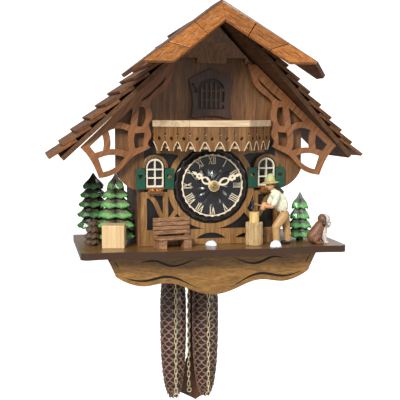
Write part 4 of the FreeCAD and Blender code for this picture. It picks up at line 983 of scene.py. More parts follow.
for i in range(ROWS):
    for k in (0, ACROSS):
        a, b = i * (ACROSS + 1) + k, (i + 1) * (ACROSS + 1) + k
        faces.append((a, b, COUNT + b, COUNT + a))
for k in range(ACROSS):
    for i in (0, ROWS):
        a = i * (ACROSS + 1) + k
        faces.append((a, a + 1, COUNT + a + 1, COUNT + a))
leaf = outward(piece_of("carved_leaf", points, faces, pendulum_stain, smooth=True), merge=FINE_MERGE)
fit(leaf, "pendulum_leaf", "pendulum_wood", "pendulum_leaf")


def block(x0, x1, y0, y1, z0, z1):
    """One squared piece, as points and faces."""
    box = [at(x, y, z) for z in (z0, z1) for x, y in ((x0, y0), (x1, y0), (x1, y1), (x0, y1))]
    return box, [(3, 2, 1, 0), (4, 5, 6, 7), (0, 1, 5, 4), (1, 2, 6, 5), (2, 3, 7, 6), (3, 0, 4, 7)]


clip_parts = [block(-6, 6, CLIP_Y + 1.5, CLIP_Y + 2.2, -252, -242)]
clip_parts += [block(x, x + 0.7, CLIP_Y - 2.0, CLIP_Y + 2.2, -252, -242) for x in (-6, 5.3)]
fit(soften(gather("leaf_clip", clip_parts, brass), 0.0002), "pendulum_leaf", "pendulum_wood")


# Weights: iron castings in the form of spruce cones.  Every scale is a kite-shaped boss that
# overlaps the row below; dark brown lacquer, with a painted highlight on the lips and painted
# shade on the core between the scales.
def turned(name, centre, profile, columns, stuff):
    """A solid of revolution about a vertical line; profile runs from the bottom up."""
    cx, cy = centre
    points = [at(cx, cy, profile[0][1])]
    for r, z in profile[1:-1]:
        points += [at(cx + r * math.cos(2 * math.pi * k / columns), cy + r * math.sin(2 * math.pi * k / columns), z)
                   for k in range(columns)]
    points.append(at(cx, cy, profile[-1][1]))
    faces, rows, last = [], len(profile) - 2, len(points) - 1
    for k in range(columns):
        j = (k + 1) % columns
        faces.append((0, 1 + j, 1 + k))
        faces.append((last, 1 + (rows - 1) * columns + k, 1 + (rows - 1) * columns + j))
        for i in range(rows - 1):
            low, high = 1 + i * columns, 1 + (i + 1) * columns
            faces.append((low + k, low + j, high + j, high + k))
    return outward(piece_of(name, points, faces, stuff, smooth=True), merge=FINE_MERGE)


def wire_ring(name, centre, radius, wire, stuff, around=24, section=8):
    """A closed ring of wire, standing upright and facing forwards."""
    cx, cy, cz = centre
    points, faces = [], []
    for i in range(around):
        a = 2 * math.pi * i / around
        for k in range(section):
            b = 2 * math.pi * k / section
            r = radius + wire * math.cos(b)
            points.append(at(cx + r * math.cos(a), cy + wire * math.sin(b), cz + r * math.sin(a)))
    for i in range(around):
        for k in range(section):
            p, q = (i + 1) % around, (k + 1) % section
            faces.append((i * section + k, p * section + k, p * section + q, i * section + q))
    return outward(piece_of(name, points, faces, stuff, smooth=True), merge=FINE_MERGE)


CONE = [(-266, 0), (-264, 4.6), (-258, 8.0), (-250, 10.8), (-235, 13.4), (-220, 15.0), (-200, 16.0),
        (-180, 16.4), (-160, 16.4), (-146, 16.2), (-130, 15.2), (-118, 13.6), (-110, 11.4), (-104, 8.8),
        (-101, 4.0)]


def cone_radius(z):
    """Radius of the cone over its scales at a height."""
    for (z0, r0), (z1, r1) in zip(CONE, CONE[1:]):
        if z <= z1:
            return r0 + (r1 - r0) * (z - z0) / (z1 - z0)
    return CONE[-1][1]


def cone_scale():
    """One scale: a kite with a raised lip at its lower point, hollow above the lip."""
    points = [(0, 1.0, 0.0), (-1.0, 0.1, 0.05), (0, 0.25, 0.42), (1.0, 0.1, 0.05), (-0.55, -0.55, 0.55),
              (0, -0.62, 0.95), (0.55, -0.55, 0.55), (0, -1.0, 0.35), (-0.5, -0.85, -0.2), (0.5, -0.85, -0.2),
              (0, 0.1, -0.6)]
    faces = [(0, 1, 2), (0, 2, 3), (1, 4, 5, 2), (2, 5, 6, 3), (4, 8, 7, 5), (5, 7, 9, 6), (1, 8, 4),
             (3, 6, 9), (0, 10, 1), (0, 3, 10), (1, 10, 8), (3, 9, 10), (8, 10, 9, 7)]
    return unit_shape(points, faces)


def scale_lip():
    """The raised lip along the lower edge of a scale: a V with its point outwards."""
    points, faces = [], []
    for x, up, out in ((-0.98, 0.02, 0.22), (-0.52, -0.50, 0.74), (0, -0.74, 1.02), (0.52, -0.50, 0.74),
                       (0.98, 0.02, 0.22)):
        points += [(x, up + 0.16, out), (x, up, out + 0.13), (x, up - 0.16, out), (x, up, out - 0.2)]
    for i in range(4):
        for k in range(4):
            j = (k + 1) % 4
            faces.append((4 * i + k, 4 * i + j, 4 * i + 4 + j, 4 * i + 4 + k))
    faces += [(0, 1, 2, 3), (16, 17, 18, 19)]
    return unit_shape(points, faces)


iron_lacquer = paint("cone lacquer", (0.034, 0.015, 0.010), rough=0.30, coat=0.5, mottle=0.2, scale=300)
# The lips are painted far paler than the scales: a painted highlight along every lip.
lip_highlight_paint = paint("lip painted highlight", (0.420, 0.225, 0.150), rough=0.28, coat=0.6, mottle=0.3, scale=200)
iron_shade = paint("cone hollows", (0.022, 0.010, 0.007), rough=0.5)
CHAIN_Y = 65.0
for side, word in ((-1, "left"), (1, "right")):
    cx = -32.0 if side < 0 else 8.0
    node = "weight_" + word
    core = turned(node + "_core", (cx, CHAIN_Y), [(0, -266)] + [(r * 0.84, z) for z, r in CONE[1:]] + [(0, -100.8)],
                  28, iron_shade)
    fit(core, node, "weight_iron", node)
    spots, row, z = [], 0, -262.0
    while z < -103.5:
        radius = cone_radius(z)
        count = 9 if radius > 9 else 7
        slope = (cone_radius(z + 1.5) - cone_radius(z - 1.5)) / 3.0
        for k in range(count):
            a = 2 * math.pi * (k + 0.5 * (row % 2)) / count
            out = Vector((math.cos(a), math.sin(a), -slope * 0.8 - 0.14)).normalized()
            right = Vector((0, 0, 1)).cross(out).normalized()
            turn = Matrix((right, out.cross(right), out)).transposed().to_euler()
            wide = math.pi * radius / count * 1.12
            spots.append((at(cx + 0.83 * radius * math.cos(a), CHAIN_Y + 0.83 * radius * math.sin(a), z),
                          turn, (wide, 5.0, 2.9)))
        row += 1
        z += 5.0 if radius > 12 else 4.2
    fit(set_out(node + "_scales", cone_scale(), spots, iron_lacquer), node, "weight_iron")
    fit(set_out(node + "_lips", scale_lip(), spots, lip_highlight_paint), node, "weight_iron")
    fit(wire_ring(node + "_hook", (cx, CHAIN_Y, -95.4), 2.6, 0.8, black_steel), node, "weight_iron")
    shank = turned(node + "_shank", (cx, CHAIN_Y), [(0, -103), (0.9, -103), (0.9, -97.6), (0, -97.6)], 12,
                   black_steel)
    fit(shank, node, "weight_iron")


# Chains: oval links of bent brassed wire, each at right angles to the next.  A pull ring
# hangs at the lower end of every strand.
def oval_link():
    """One link: a wire bent to a long oval."""
    spine = []
    for k in range(12):
        a = 2 * math.pi * (k + 0.5) / 12
        spine.append((1.55 * math.cos(a), 1.55 * math.sin(a) + math.copysign(2.05, math.sin(a))))
    points, faces, section = [], [], 6
    for k, (x, z) in enumerate(spine):
        ahead, behind = spine[(k + 1) % 12], spine[k - 1]
        along = Vector((ahead[0] - behind[0], 0, ahead[1] - behind[1])).normalized()
        aside = Vector((along.z, 0, -along.x))
        for i in range(section):
            b = 2 * math.pi * i / section
            points.append(Vector((x, 0, z)) + aside * 0.55 * math.cos(b) + Vector((0, 0.55 * math.sin(b), 0)))
    for k in range(12):
        for i in range(section):
            p, q = (k + 1) % 12, (i + 1) % section
            faces.append((k * section + i, p * section + i, p * section + q, k * section + q))
    return unit_shape(points, faces, smooth=True)


PITCH_OF_LINKS = 6.1
chain_brass = metal("chain brass", (0.98, 0.86, 0.56), rough=0.36, tarnish=0.25, base=0.75)


def strand(x, y, low, high, first=0):
    """Where the links of one strand sit, every other one turned a quarter."""
    count = max(1, int((high - low - 2) / PITCH_OF_LINKS))
    start = (low + high) / 2 - (count - 1) * PITCH_OF_LINKS / 2
    return [(at(x, y, start + i * PITCH_OF_LINKS), (0, 0, math.pi / 2 * ((i + first) % 2)), (1, 1, 1))
            for i in range(count)]


TAIL_Y = CHAIN_Y - 18.6
for label, body, spots, ring in (
        ("chain_left_loaded", "weight_left", strand(-32, CHAIN_Y, -93, 125) + strand(-32, TAIL_Y, -257.4, -96),
         (-32, TAIL_Y, -260.2)),
        ("chain_left_free", "chain_left_free", strand(-12.8, CHAIN_Y, -257.0, 5), (-12.1, CHAIN_Y, -259.2)),
        ("chain_right_loaded", "weight_right", strand(8, CHAIN_Y, -93, 125) + strand(8, TAIL_Y, -257.4, -96, 1),
         (8, TAIL_Y, -260.2)),
        ("chain_right_free", "chain_right_free", strand(27.2, CHAIN_Y, -98.4, 5), (26.5, CHAIN_Y, -100.2))):
    fit(set_out(label + "_links", oval_link(), spots, chain_brass), body, "chain_metal", label)
    size = 3.4 if ring[1] == TAIL_Y else 2.5
    fit(wire_ring(label + "_ring", ring, size, 0.5, chain_brass, section=6), body, "chain_metal")


# Fir trees: limewood cones, cut with a knife into tiers of leaf-shaped facets.  The hollows
# are painted brown-black and the lower rims bright green; the trees stand on glued pegs.
def toned(name, rough=0.5, coat=0.15, mottle=0.35, scale=700, relief=0.3):
    """Hand-painted wood: the tone comes from the brushwork stored with the piece."""
    stuff = bpy.data.materials.new(name)
    stuff.use_nodes = True
    tree = stuff.node_tree
    new, link = tree.nodes.new, tree.links.new
    shader = tree.nodes["Principled BSDF"]
    shader.inputs["Coat Weight"].default_value = coat
    brushed = new("ShaderNodeVertexColor")
    brushed.layer_name = "tone"
    spot, cloud = new("ShaderNodeTexCoord"), new("ShaderNodeTexNoise")
    cloud.inputs["Scale"].default_value = scale
    cloud.inputs["Detail"].default_value = 4
    link(spot.outputs["Object"], cloud.inputs["Vector"])
    depth = new("ShaderNodeMapRange")
    depth.inputs["From Min"].default_value = 0.3
    depth.inputs["From Max"].default_value = 0.7
    depth.inputs["To Min"].default_value = 1 - mottle
    depth.inputs["To Max"].default_value = 1 + mottle * 0.3
    link(cloud.outputs["Fac"], depth.inputs["Value"])
    shade = new("ShaderNodeVectorMath")
    shade.operation = "SCALE"
    link(brushed.outputs["Color"], shade.inputs[0])
    link(depth.outputs["Result"], shade.inputs["Scale"])
    link(shade.outputs["Vector"], shader.inputs["Base Color"])
    sheen = new("ShaderNodeMapRange")
    sheen.inputs["To Min"].default_value = rough - 0.12
    sheen.inputs["To Max"].default_value = rough + 0.15
    link(cloud.outputs["Fac"], sheen.inputs["Value"])
    link(sheen.outputs["Result"], shader.inputs["Roughness"])
    bump = new("ShaderNodeBump")
    bump.inputs["Strength"].default_value = relief
    bump.inputs["Distance"].default_value = 0.0003
    link(cloud.outputs["Fac"], bump.inputs["Height"])
    link(bump.outputs["Normal"], shader.inputs["Normal"])
    return stuff


def brush(piece, tones):
    """Stores one tone for every point of the piece."""
    layer = piece.data.color_attributes.new("tone", "FLOAT_COLOR", "POINT")
    flat = [channel for tone in tones for channel in (*tone, 1.0)]
    layer.data.foreach_set("color", flat)
    return piece


def carved_tree(name, spot, tiers, peak, start, hollow, crease, rim, under):
    """A trunk with tiers, from the top down, each (rim height, half width).  Four big leaves to
    a tier, each with a tip, two drooping edges and a dark valley next to it."""
    x, y = spot
    points, faces, tones = [], [], []
    columns = 16
    mixed = tuple(0.5 * (h + r) for h, r in zip(hollow, rim))
    above_z, above_r = peak, 0.0
    for rim_z, half in tiers:
        radius = half * 1.41
        tall = above_z - rim_z
        rings = ((0.26 * above_r + 0.3, above_z - (0 if above_r == 0 else 1.2), (hollow, hollow, hollow)),
                 (0.42 * radius + 0.20 * above_r, rim_z + 0.52 * tall + 1.4, (hollow, hollow, crease)),
                 (0.74 * radius, rim_z + 0.30 * tall + 1.8, (mixed, hollow, crease)),
                 (0.84 * radius, rim_z + 0.22 * tall + 1.8, (rim, mixed, crease)),
                 (1.00 * radius, rim_z + 2.6, (rim, rim, rim)),
                 (0.97 * radius, rim_z + 0.8, (rim, under, under)),
                 (0.36 * radius, rim_z + 1.4, (under, under, under)))
        base = len(points)
        for step, (r, z, shades) in enumerate(rings):
            for k in range(columns):
                a = start + 2 * math.pi * k / columns
                place = min(k % 4, 4 - k % 4)
                reach = r * (1.0, 0.84, 0.68)[place] if 0 < step < 6 else r * 0.9
                drop = (0.6, -2.3, -0.5)[place] if step in (4, 5) else 0.0
                points.append(at(x + reach * math.sin(a), y - reach * math.cos(a), max(-67.4, z + drop)))
                tones.append(shades[place])
        for step in range(len(rings) - 1):
            for k in range(columns):
                j = (k + 1) % columns
                p, q = base + step * columns, base + (step + 1) * columns
                faces += [(p + k, p + j, q + j, q + k)]
        faces.append(tuple(base + k for k in range(columns)))
        faces.append(tuple(base + (len(rings) - 1) * columns + k for k in range(columns)))
        above_z, above_r = rim_z + 0.20 * tall + 1.0, radius
    stem = tiers[0][1] * 0.30 + 1.6
    base = len(points)
    for z in (tiers[-1][0] + 4, -67.4):
        for k in range(columns):
            a = 2 * math.pi * k / columns
            points.append(at(x + stem * math.sin(a), y - stem * math.cos(a), z))
            tones.append(under)
    faces += [(base + k, base + (k + 1) % columns, base + columns + (k + 1) % columns, base + columns + k)
              for k in range(columns)]
    faces += [tuple(base + k for k in range(columns)), tuple(base + columns + k for k in range(columns))]
    made = brush(piece_of(name, points, faces, tree_paint), tones)
    bm = bmesh.new()
    bm.from_mesh(made.data)
    bmesh.ops.recalc_face_normals(bm, faces=bm.faces)
    bm.to_mesh(made.data)
    bm.free()
    return made


tree_paint = toned("tree paint", rough=0.42, coat=0.3)
QUARTER = math.pi / 4
HOLLOW, CREASE = (0.180, 0.150, 0.105), (0.016, 0.016, 0.010)
RIM, UNDER = (0.165, 0.440, 0.120), (0.012, 0.060, 0.016)
front_left = carved_tree("fir_front_left", (-104, 33), [(-5, 9.2), (-14.5, 13.4), (-25.5, 15.8), (-37, 18.2),
                         (-48.5, 20.2), (-61, 20.4)], 12.5, QUARTER - 0.1, HOLLOW, CREASE, RIM, UNDER)
fit(front_left, "case", "tree_paint", "trees_left")
# The rear trees take the front trees' paints darkened: painted shade, for where they stand back beside the case.
SHADED_HOLLOW, SHADED_CREASE = (0.026, 0.016, 0.009), (0.008, 0.006, 0.004)
SHADED_RIM, SHADE = (0.040, 0.150, 0.024), (0.008, 0.014, 0.006)
rear_left = carved_tree("fir_rear_left", (-126, 76),
                        [(-8, 9.6), (-18, 12.0), (-29, 13.6), (-41, 14.8), (-54, 15.0)],
                        10.5, 0.3, SHADED_HOLLOW, SHADED_CREASE, SHADED_RIM, SHADE)
fit(rear_left, "case", "tree_paint")
shrub = carved_tree("brown_shrub", (-130, 20), [(-45, 4.8), (-52, 7.0), (-59, 8.4), (-65.5, 8.5)], -37.6, 0.1,
                    (0.080, 0.042, 0.020), (0.016, 0.009, 0.006), (0.120, 0.070, 0.034), (0.02, 0.012, 0.008))
fit(shrub, "case", "tree_paint")
front_right = carved_tree("fir_front_right", (109, 8), [(-29, 8.6), (-41, 10.2), (-51.5, 12.2), (-62, 13.0)], -10.6,
                          QUARTER - 0.25, (0.130, 0.140, 0.110), CREASE, (0.100, 0.430, 0.080), UNDER)
fit(front_right, "case", "tree_paint", "trees_right")
rear_right = carved_tree("fir_rear_right", (97, 62), [(-18, 7.2), (-30, 9.4), (-42, 10.8), (-55, 11.4)], -5.6, 0.2,
                         SHADED_HOLLOW, SHADED_CREASE, SHADED_RIM, SHADE)
fit(rear_right, "case", "tree_paint")


# On the stage: a slatted bench, a squared pale block, two lumps of snow, and the chopping
# block, a grooved stump with a clean split log standing on it.
bench_wood = wood("bench slats", (0.165, 0.070, 0.029), (0.506, 0.260, 0.120), along="X", grain=0.0022, rough=0.5)
dress(bench_wood, "bench")
pale_block = wood("pale block", (0.586, 0.383, 0.171), (0.796, 0.584, 0.316), grain=0.006, rough=0.5,
                  coat=0.15, pores=0.9)
blocks = [part for part in loose_parts("stage_trimmings") if part[4].z - part[3].z > 0.015]
fit(soften(gather("squared_block", blocks, pale_block), 0.0007, 3), "case", "snow_paint", "stage_trimmings")
snow = paint("snow", (0.80, 0.86, 0.95), rough=0.75, coat=0.0, mottle=0.06, scale=900, relief=0.6)
flakes = random.Random(11)
for name, cx, cy, reach, tall in (("snow_left", -1, -12, 7.8, 5.6), ("snow_right", 66.5, -36.6, 7.4, 7.6)):
    columns, rows = 28, 8
    points, faces = [at(cx, cy, -67.4)], []
    for i in range(rows):
        swell = math.pi / 2 * i / (rows - 1)
        for k in range(columns):
            a = 2 * math.pi * k / columns
            r = reach * math.cos(swell * 0.96) * (0.86 + 0.10 * math.sin(3 * a + cx) + flakes.uniform(-0.03, 0.03))
            z = -67.4 + tall * math.sin(swell) * (0.94 + flakes.uniform(-0.05, 0.05))
            points.append(at(cx + r * math.cos(a), cy + r * math.sin(a), z))
    points.append(at(cx, cy, -67.4 + tall * 0.96))
    last = len(points) - 1
    for k in range(columns):
        j = (k + 1) % columns
        faces += [(0, 1 + j, 1 + k), (last, 1 + (rows - 1) * columns + k, 1 + (rows - 1) * columns + j)]
        faces += [(1 + i * columns + k, 1 + i * columns + j, 1 + (i + 1) * columns + j, 1 + (i + 1) * columns + k)
                  for i in range(rows - 1)]
    fit(outward(piece_of(name, points, faces, snow, smooth=True), merge=FINE_MERGE), "case", "snow_paint")


def end_grain(stuff, centre, top, tone, ring=0.0011):
    """Growth rings on the sawn top of a round billet."""
    tree = stuff.node_tree
    new, link = tree.nodes.new, tree.links.new
    shader = tree.nodes["Principled BSDF"]
    old = shader.inputs["Base Color"].links[0].from_socket
    spot, shift = new("ShaderNodeTexCoord"), new("ShaderNodeVectorMath")
    link(spot.outputs["Object"], shift.inputs[0])
    shift.inputs[1].default_value = (-centre.x, -centre.y, 0)
    rings = new("ShaderNodeTexWave")
    rings.wave_type, rings.rings_direction = "RINGS", "Z"
    rings.inputs["Scale"].default_value = 0.31 / ring
    rings.inputs["Distortion"].default_value = 1.2
    link(shift.outputs["Vector"], rings.inputs["Vector"])
    grown = new("ShaderNodeMix")
    grown.data_type = "RGBA"
    grown.inputs["A"].default_value = (*tone, 1)
    grown.inputs["B"].default_value = (*[c * 0.62 for c in tone], 1)
    link(rings.outputs["Fac"], grown.inputs["Factor"])
    split, step, mix = new("ShaderNodeSeparateXYZ"), new("ShaderNodeMath"), new("ShaderNodeMix")
    link(spot.outputs["Object"], split.inputs["Vector"])
    step.operation = "GREATER_THAN"
    step.inputs[1].default_value = top - 0.0003
    link(split.outputs["Z"], step.inputs[0])
    mix.data_type = "RGBA"
    link(step.outputs["Value"], mix.inputs["Factor"])
    link(old, mix.inputs["A"])
    link(grown.outputs["Result"], mix.inputs["B"])
    link(mix.outputs["Result"], shader.inputs["Base Color"])
    return stuff


def billet(name, low, high, reach, grooves, depth, stuff):
    """A round billet about the chopping block's axis, with knife-cut grooves down its side."""
    cx, cy, columns, rows = 47, -17, 120, 10
    knife = random.Random(int(reach * 10))
    cuts = [(i + knife.uniform(-0.25, 0.25)) / grooves for i in range(grooves)]
    points, faces = [], []
    for i in range(rows + 1):
        t = i / rows
        for k in range(columns):
            share = k / columns
            near = min(min(abs(share - c), 1 - abs(share - c)) for c in cuts)
            cut = depth * max(0.0, 1 - near * columns / 2.2)
            flare = 0.0 if depth < 0.5 else 0.35 * math.sin(6.3 * t + 9 * share)
            r = reach - cut - (0.5 if i in (0, rows) else 0.0) - abs(flare)
            points.append(at(cx + r * math.cos(2 * math.pi * share), cy + r * math.sin(2 * math.pi * share),
                             low + (high - low) * (0.02 if i == 1 else 0.98 if i == rows - 1 else t)))
    for i in range(rows):
        for k in range(columns):
            j = (k + 1) % columns
            faces.append((i * columns + k, i * columns + j, (i + 1) * columns + j, (i + 1) * columns + k))
    faces += [tuple(range(columns)), tuple(rows * columns + k for k in range(columns))]
    return outward(piece_of(name, points, faces, stuff), merge=FINE_MERGE)


block_axis = at(47, -17, 0)
stump_bark = wood("stump", (0.403, 0.247, 0.097), (0.733, 0.516, 0.251), grain=0.0022, rough=0.6, coat=0.05)
log_wood = wood("split log", (0.608, 0.403, 0.118), (0.818, 0.604, 0.243), grain=0.003, rough=0.55,
                coat=0.05, pores=0.85)
end_grain(stump_bark, block_axis, at(0, 0, -41.8).z, (0.60, 0.44, 0.24))
end_grain(log_wood, block_axis, at(0, 0, -30.2).z, (0.80, 0.62, 0.30))
fit(billet("stump", -67.4, -41.6, 10.0, 11, 1.0, stump_bark), "case", "stump_wood", "chopping_block")
fit(billet("split_log", -41.9, -30.0, 5.5, 7, 0.35, log_wood), "case", "stump_wood")


# Figures: limewood carvings, painted in flat colours.  Each is blended from rounded masses,
# as a carver rounds over a blank, and every mass keeps its own paint.
def mass_of(bm, shape):
    """Adds one mass: a limb between two balls, or a ball stretched and tipped."""
    made = bmesh.new()
    if shape[0] == "limb":
        for centre, reach in ((shape[1], shape[3]), (shape[2], shape[4])):
            grown = bmesh.ops.create_icosphere(made, subdivisions=3, radius=reach / 1000)
            bmesh.ops.translate(made, verts=grown["verts"], vec=at(*centre))
        hull = bmesh.ops.convex_hull(made, input=made.verts)
        inside = {v for v in hull["geom_interior"] if isinstance(v, bmesh.types.BMVert)}
        bmesh.ops.delete(made, geom=list(inside), context="VERTS")
    else:
        grown = bmesh.ops.create_icosphere(made, subdivisions=4, radius=0.001)
        bmesh.ops.scale(made, verts=grown["verts"], vec=shape[2])
        bmesh.ops.rotate(made, verts=grown["verts"], matrix=Euler((0, math.radians(shape[3]), 0)).to_matrix())
        bmesh.ops.translate(made, verts=grown["verts"], vec=at(*shape[1]))
    mesh = bpy.data.meshes.new("mass")
    made.to_mesh(mesh)
    made.free()
    bm.from_mesh(mesh)
    bpy.data.meshes.remove(mesh)


def distances(spots, shape):
    """How far each spot is outside one mass."""
    if shape[0] == "limb":
        a, b = numpy.array(at(*shape[1])), numpy.array(at(*shape[2]))
        along = b - a
        t = numpy.clip((spots - a) @ along / max(1e-12, along @ along), 0, 1)
        reach = (shape[3] + t * (shape[4] - shape[3])) / 1000
        return numpy.linalg.norm(spots - a - t[:, None] * along, axis=1) - reach
    turn = numpy.array(Euler((0, math.radians(shape[3]), 0)).to_matrix())
    radii = numpy.array(shape[2]) / 1000
    local = (spots - numpy.array(at(*shape[1]))) @ turn / radii
    return (numpy.linalg.norm(local, axis=1) - 1) * radii.min()


def figure(name, shapes, grain, stuff, floor=None, rounds=4):
    """One carving from its masses, painted by whichever mass lies nearest."""
    bm = bmesh.new()
    for shape in shapes:
        mass_of(bm, shape)
    mesh = bpy.data.meshes.new(name)
    bm.to_mesh(mesh)
    bm.free()
    made = bpy.data.objects.new(name, mesh)
    bpy.context.scene.collection.objects.link(made)
    blend = made.modifiers.new("blend", "REMESH")
    blend.mode, blend.voxel_size = "VOXEL", grain / 1000
    ease = made.modifiers.new("round over", "SMOOTH")
    ease.factor, ease.iterations = 0.5, rounds
    settle(made)
    mesh = made.data
    spots = numpy.empty(len(mesh.vertices) * 3)
    mesh.vertices.foreach_get("co", spots)
    spots = spots.reshape(-1, 3)
    if floor is not None:
        spots[:, 2] = numpy.maximum(spots[:, 2], at(0, 0, floor).z)
        mesh.vertices.foreach_set("co", spots.ravel())
    away = numpy.array([distances(spots, shape) for shape in shapes])
    nearest = away.argmin(axis=0)
    tones = numpy.array([shape[-1] for shape in shapes])[nearest]
    brush(made, tones.tolist())
    mesh.materials.clear()
    mesh.materials.append(stuff)
    mesh.polygons.foreach_set("use_smooth", [True] * len(mesh.polygons))
    return made


SKIN, SHIRT, TROUSERS = (0.66, 0.350, 0.160), (0.84, 0.82, 0.62), (0.52, 0.300, 0.115)
STRAW, BAND, HAIR, BOOTS = (0.50, 0.54, 0.22), (0.66, 0.26, 0.05), (0.10, 0.042, 0.018), (0.018, 0.015, 0.013)
BELT = (0.16, 0.085, 0.035)
CY = -21.8
chopper_shapes = [
    ("limb", (71.5, CY - 5, -64.8), (63.5, CY - 5.4, -65.4), 3.0, 2.2, BOOTS),
    ("limb", (87, CY + 4, -64.8), (80, CY + 3.6, -65.4), 3.0, 2.2, BOOTS),
    ("limb", (70.5, CY - 5, -62), (69.5, CY - 5, -46.5), 4.1, 4.4, TROUSERS),
    ("limb", (69.5, CY - 5, -46.5), (79.5, CY - 3, -34.5), 4.5, 5.6, TROUSERS),
    ("limb", (86.5, CY + 4, -62), (84.5, CY + 4, -47), 3.7, 4.5, TROUSERS),
    ("limb", (84.5, CY + 4, -47), (81.5, CY + 2, -34), 4.6, 5.8, TROUSERS),
    ("limb", (70.5, CY - 8.6, -60), (68.0, CY - 8.2, -48), 0.8, 0.9, TROUSERS),
    ("limb", (74.5, CY - 8.0, -44.5), (80.5, CY - 7.2, -38.0), 0.8, 0.8, TROUSERS),
    ("limb", (88.5, CY - 0.2, -56), (86.0, CY - 0.6, -47), 0.8, 0.9, TROUSERS),
    ("ball", (81.2, CY, -31.2), (7.0, 6.2, 1.5), 28, BELT),
    ("ball", (75.8, CY, -19.6), (8.6, 5.7, 12.6), -27, SHIRT),
    ("ball", (70.8, CY, -10.8), (6.4, 5.6, 5.4), 0, SHIRT),
    ("limb", (82.0, CY - 4.6, -25), (74.5, CY - 5.0, -19.5), 0.9, 0.7, SHIRT),
    ("limb", (82.6, CY - 3.6, -20.5), (77.0, CY - 4.6, -13.5), 0.8, 0.8, SHIRT),
    ("ball", (67.6, CY, -5.9), (3.6, 3.5, 1.5), -20, SHIRT),
    ("limb", (68.5, CY, -7.5), (66.2, CY, -3.0), 2.7, 2.7, SKIN),
    ("ball", (64.0, CY, -0.6), (4.7, 4.3, 5.1), 12, SKIN),
    ("limb", (59.6, CY, -0.4), (58.6, CY, -1.6), 0.8, 0.9, SKIN),
    ("ball", (66.4, CY, 0.6), (4.2, 4.6, 4.0), 0, HAIR),
    ("limb", (61.0, CY - 2.9, 0.9), (60.2, CY - 1.2, 1.1), 0.4, 0.4, HAIR),
    ("limb", (61.0, CY + 2.9, 0.9), (60.2, CY + 1.2, 1.1), 0.4, 0.4, HAIR),
    ("limb", (60.2, CY - 1.8, -3.0), (60.2, CY + 1.8, -3.0), 0.55, 0.55, HAIR),
    ("ball", (60.5, CY - 1.9, 0.0), (0.6, 0.6, 0.6), 0, BOOTS),
    ("ball", (60.5, CY + 1.9, 0.0), (0.6, 0.6, 0.6), 0, BOOTS),
    ("ball", (65.6, CY - 4.5, -0.6), (1.0, 0.6, 1.3), 0, SKIN),
    ("ball", (64.3, CY, 3.3), (10.0, 9.8, 1.15), -4, STRAW),
    ("ball", (64.4, CY, 5.0), (5.9, 5.8, 1.5), -4, BAND),
    ("limb", (64.4, CY, 6.0), (64.2, CY, 9.4), 5.1, 4.2, STRAW),
]
figure_paint = toned("figure paint", rough=0.55, coat=0.1, mottle=0.22, scale=500, relief=0.25)
fit(figure("woodchopper_carving", chopper_shapes, 0.42, figure_paint, -67.4, 2), "case", "figure_paint",
    "woodchopper")
arm_shapes = [("limb", (55.8, CY, -25.4), (57.4, CY, -21.4), 3.1, 3.0, SKIN),
              ("limb", (60.5, CY, -24.7), (44.0, CY, -19.9), 1.05, 1.0, (0.36, 0.19, 0.075)),
              ("limb", (44.0, CY, -24.2), (43.6, CY, -17.2), 1.5, 1.9, (0.022, 0.022, 0.028)),
              ("limb", (42.6, CY, -25.0), (45.0, CY, -25.0), 1.0, 1.0, (0.10, 0.10, 0.11))]
for way in (-1, 1):
    out = CY + way * 8.3
    arm_shapes += [("limb", (70, out, -10.5), (67.2, out, -17.0), 3.2, 3.3, SHIRT),
                   ("limb", (67.2, out, -17.0), (66.0, out, -19.6), 3.5, 3.3, SHIRT),
                   ("limb", (66.6, out, -18.4), (64.0, out, -23.0), 2.5, 2.4, SKIN),
                   ("limb", (64.0, out, -23.0), (57.0, CY + way * 1.6, -23.4), 2.4, 2.1, SKIN)]
fit(figure("chopper_arms_carving", arm_shapes, 0.36, figure_paint, None, 2), "chopper_arms", "figure_paint",
    "chopper_arms")
COAT, BIB, EAR = (0.230, 0.095, 0.042), (0.80, 0.68, 0.60), (0.060, 0.024, 0.014)
DY = -22.0
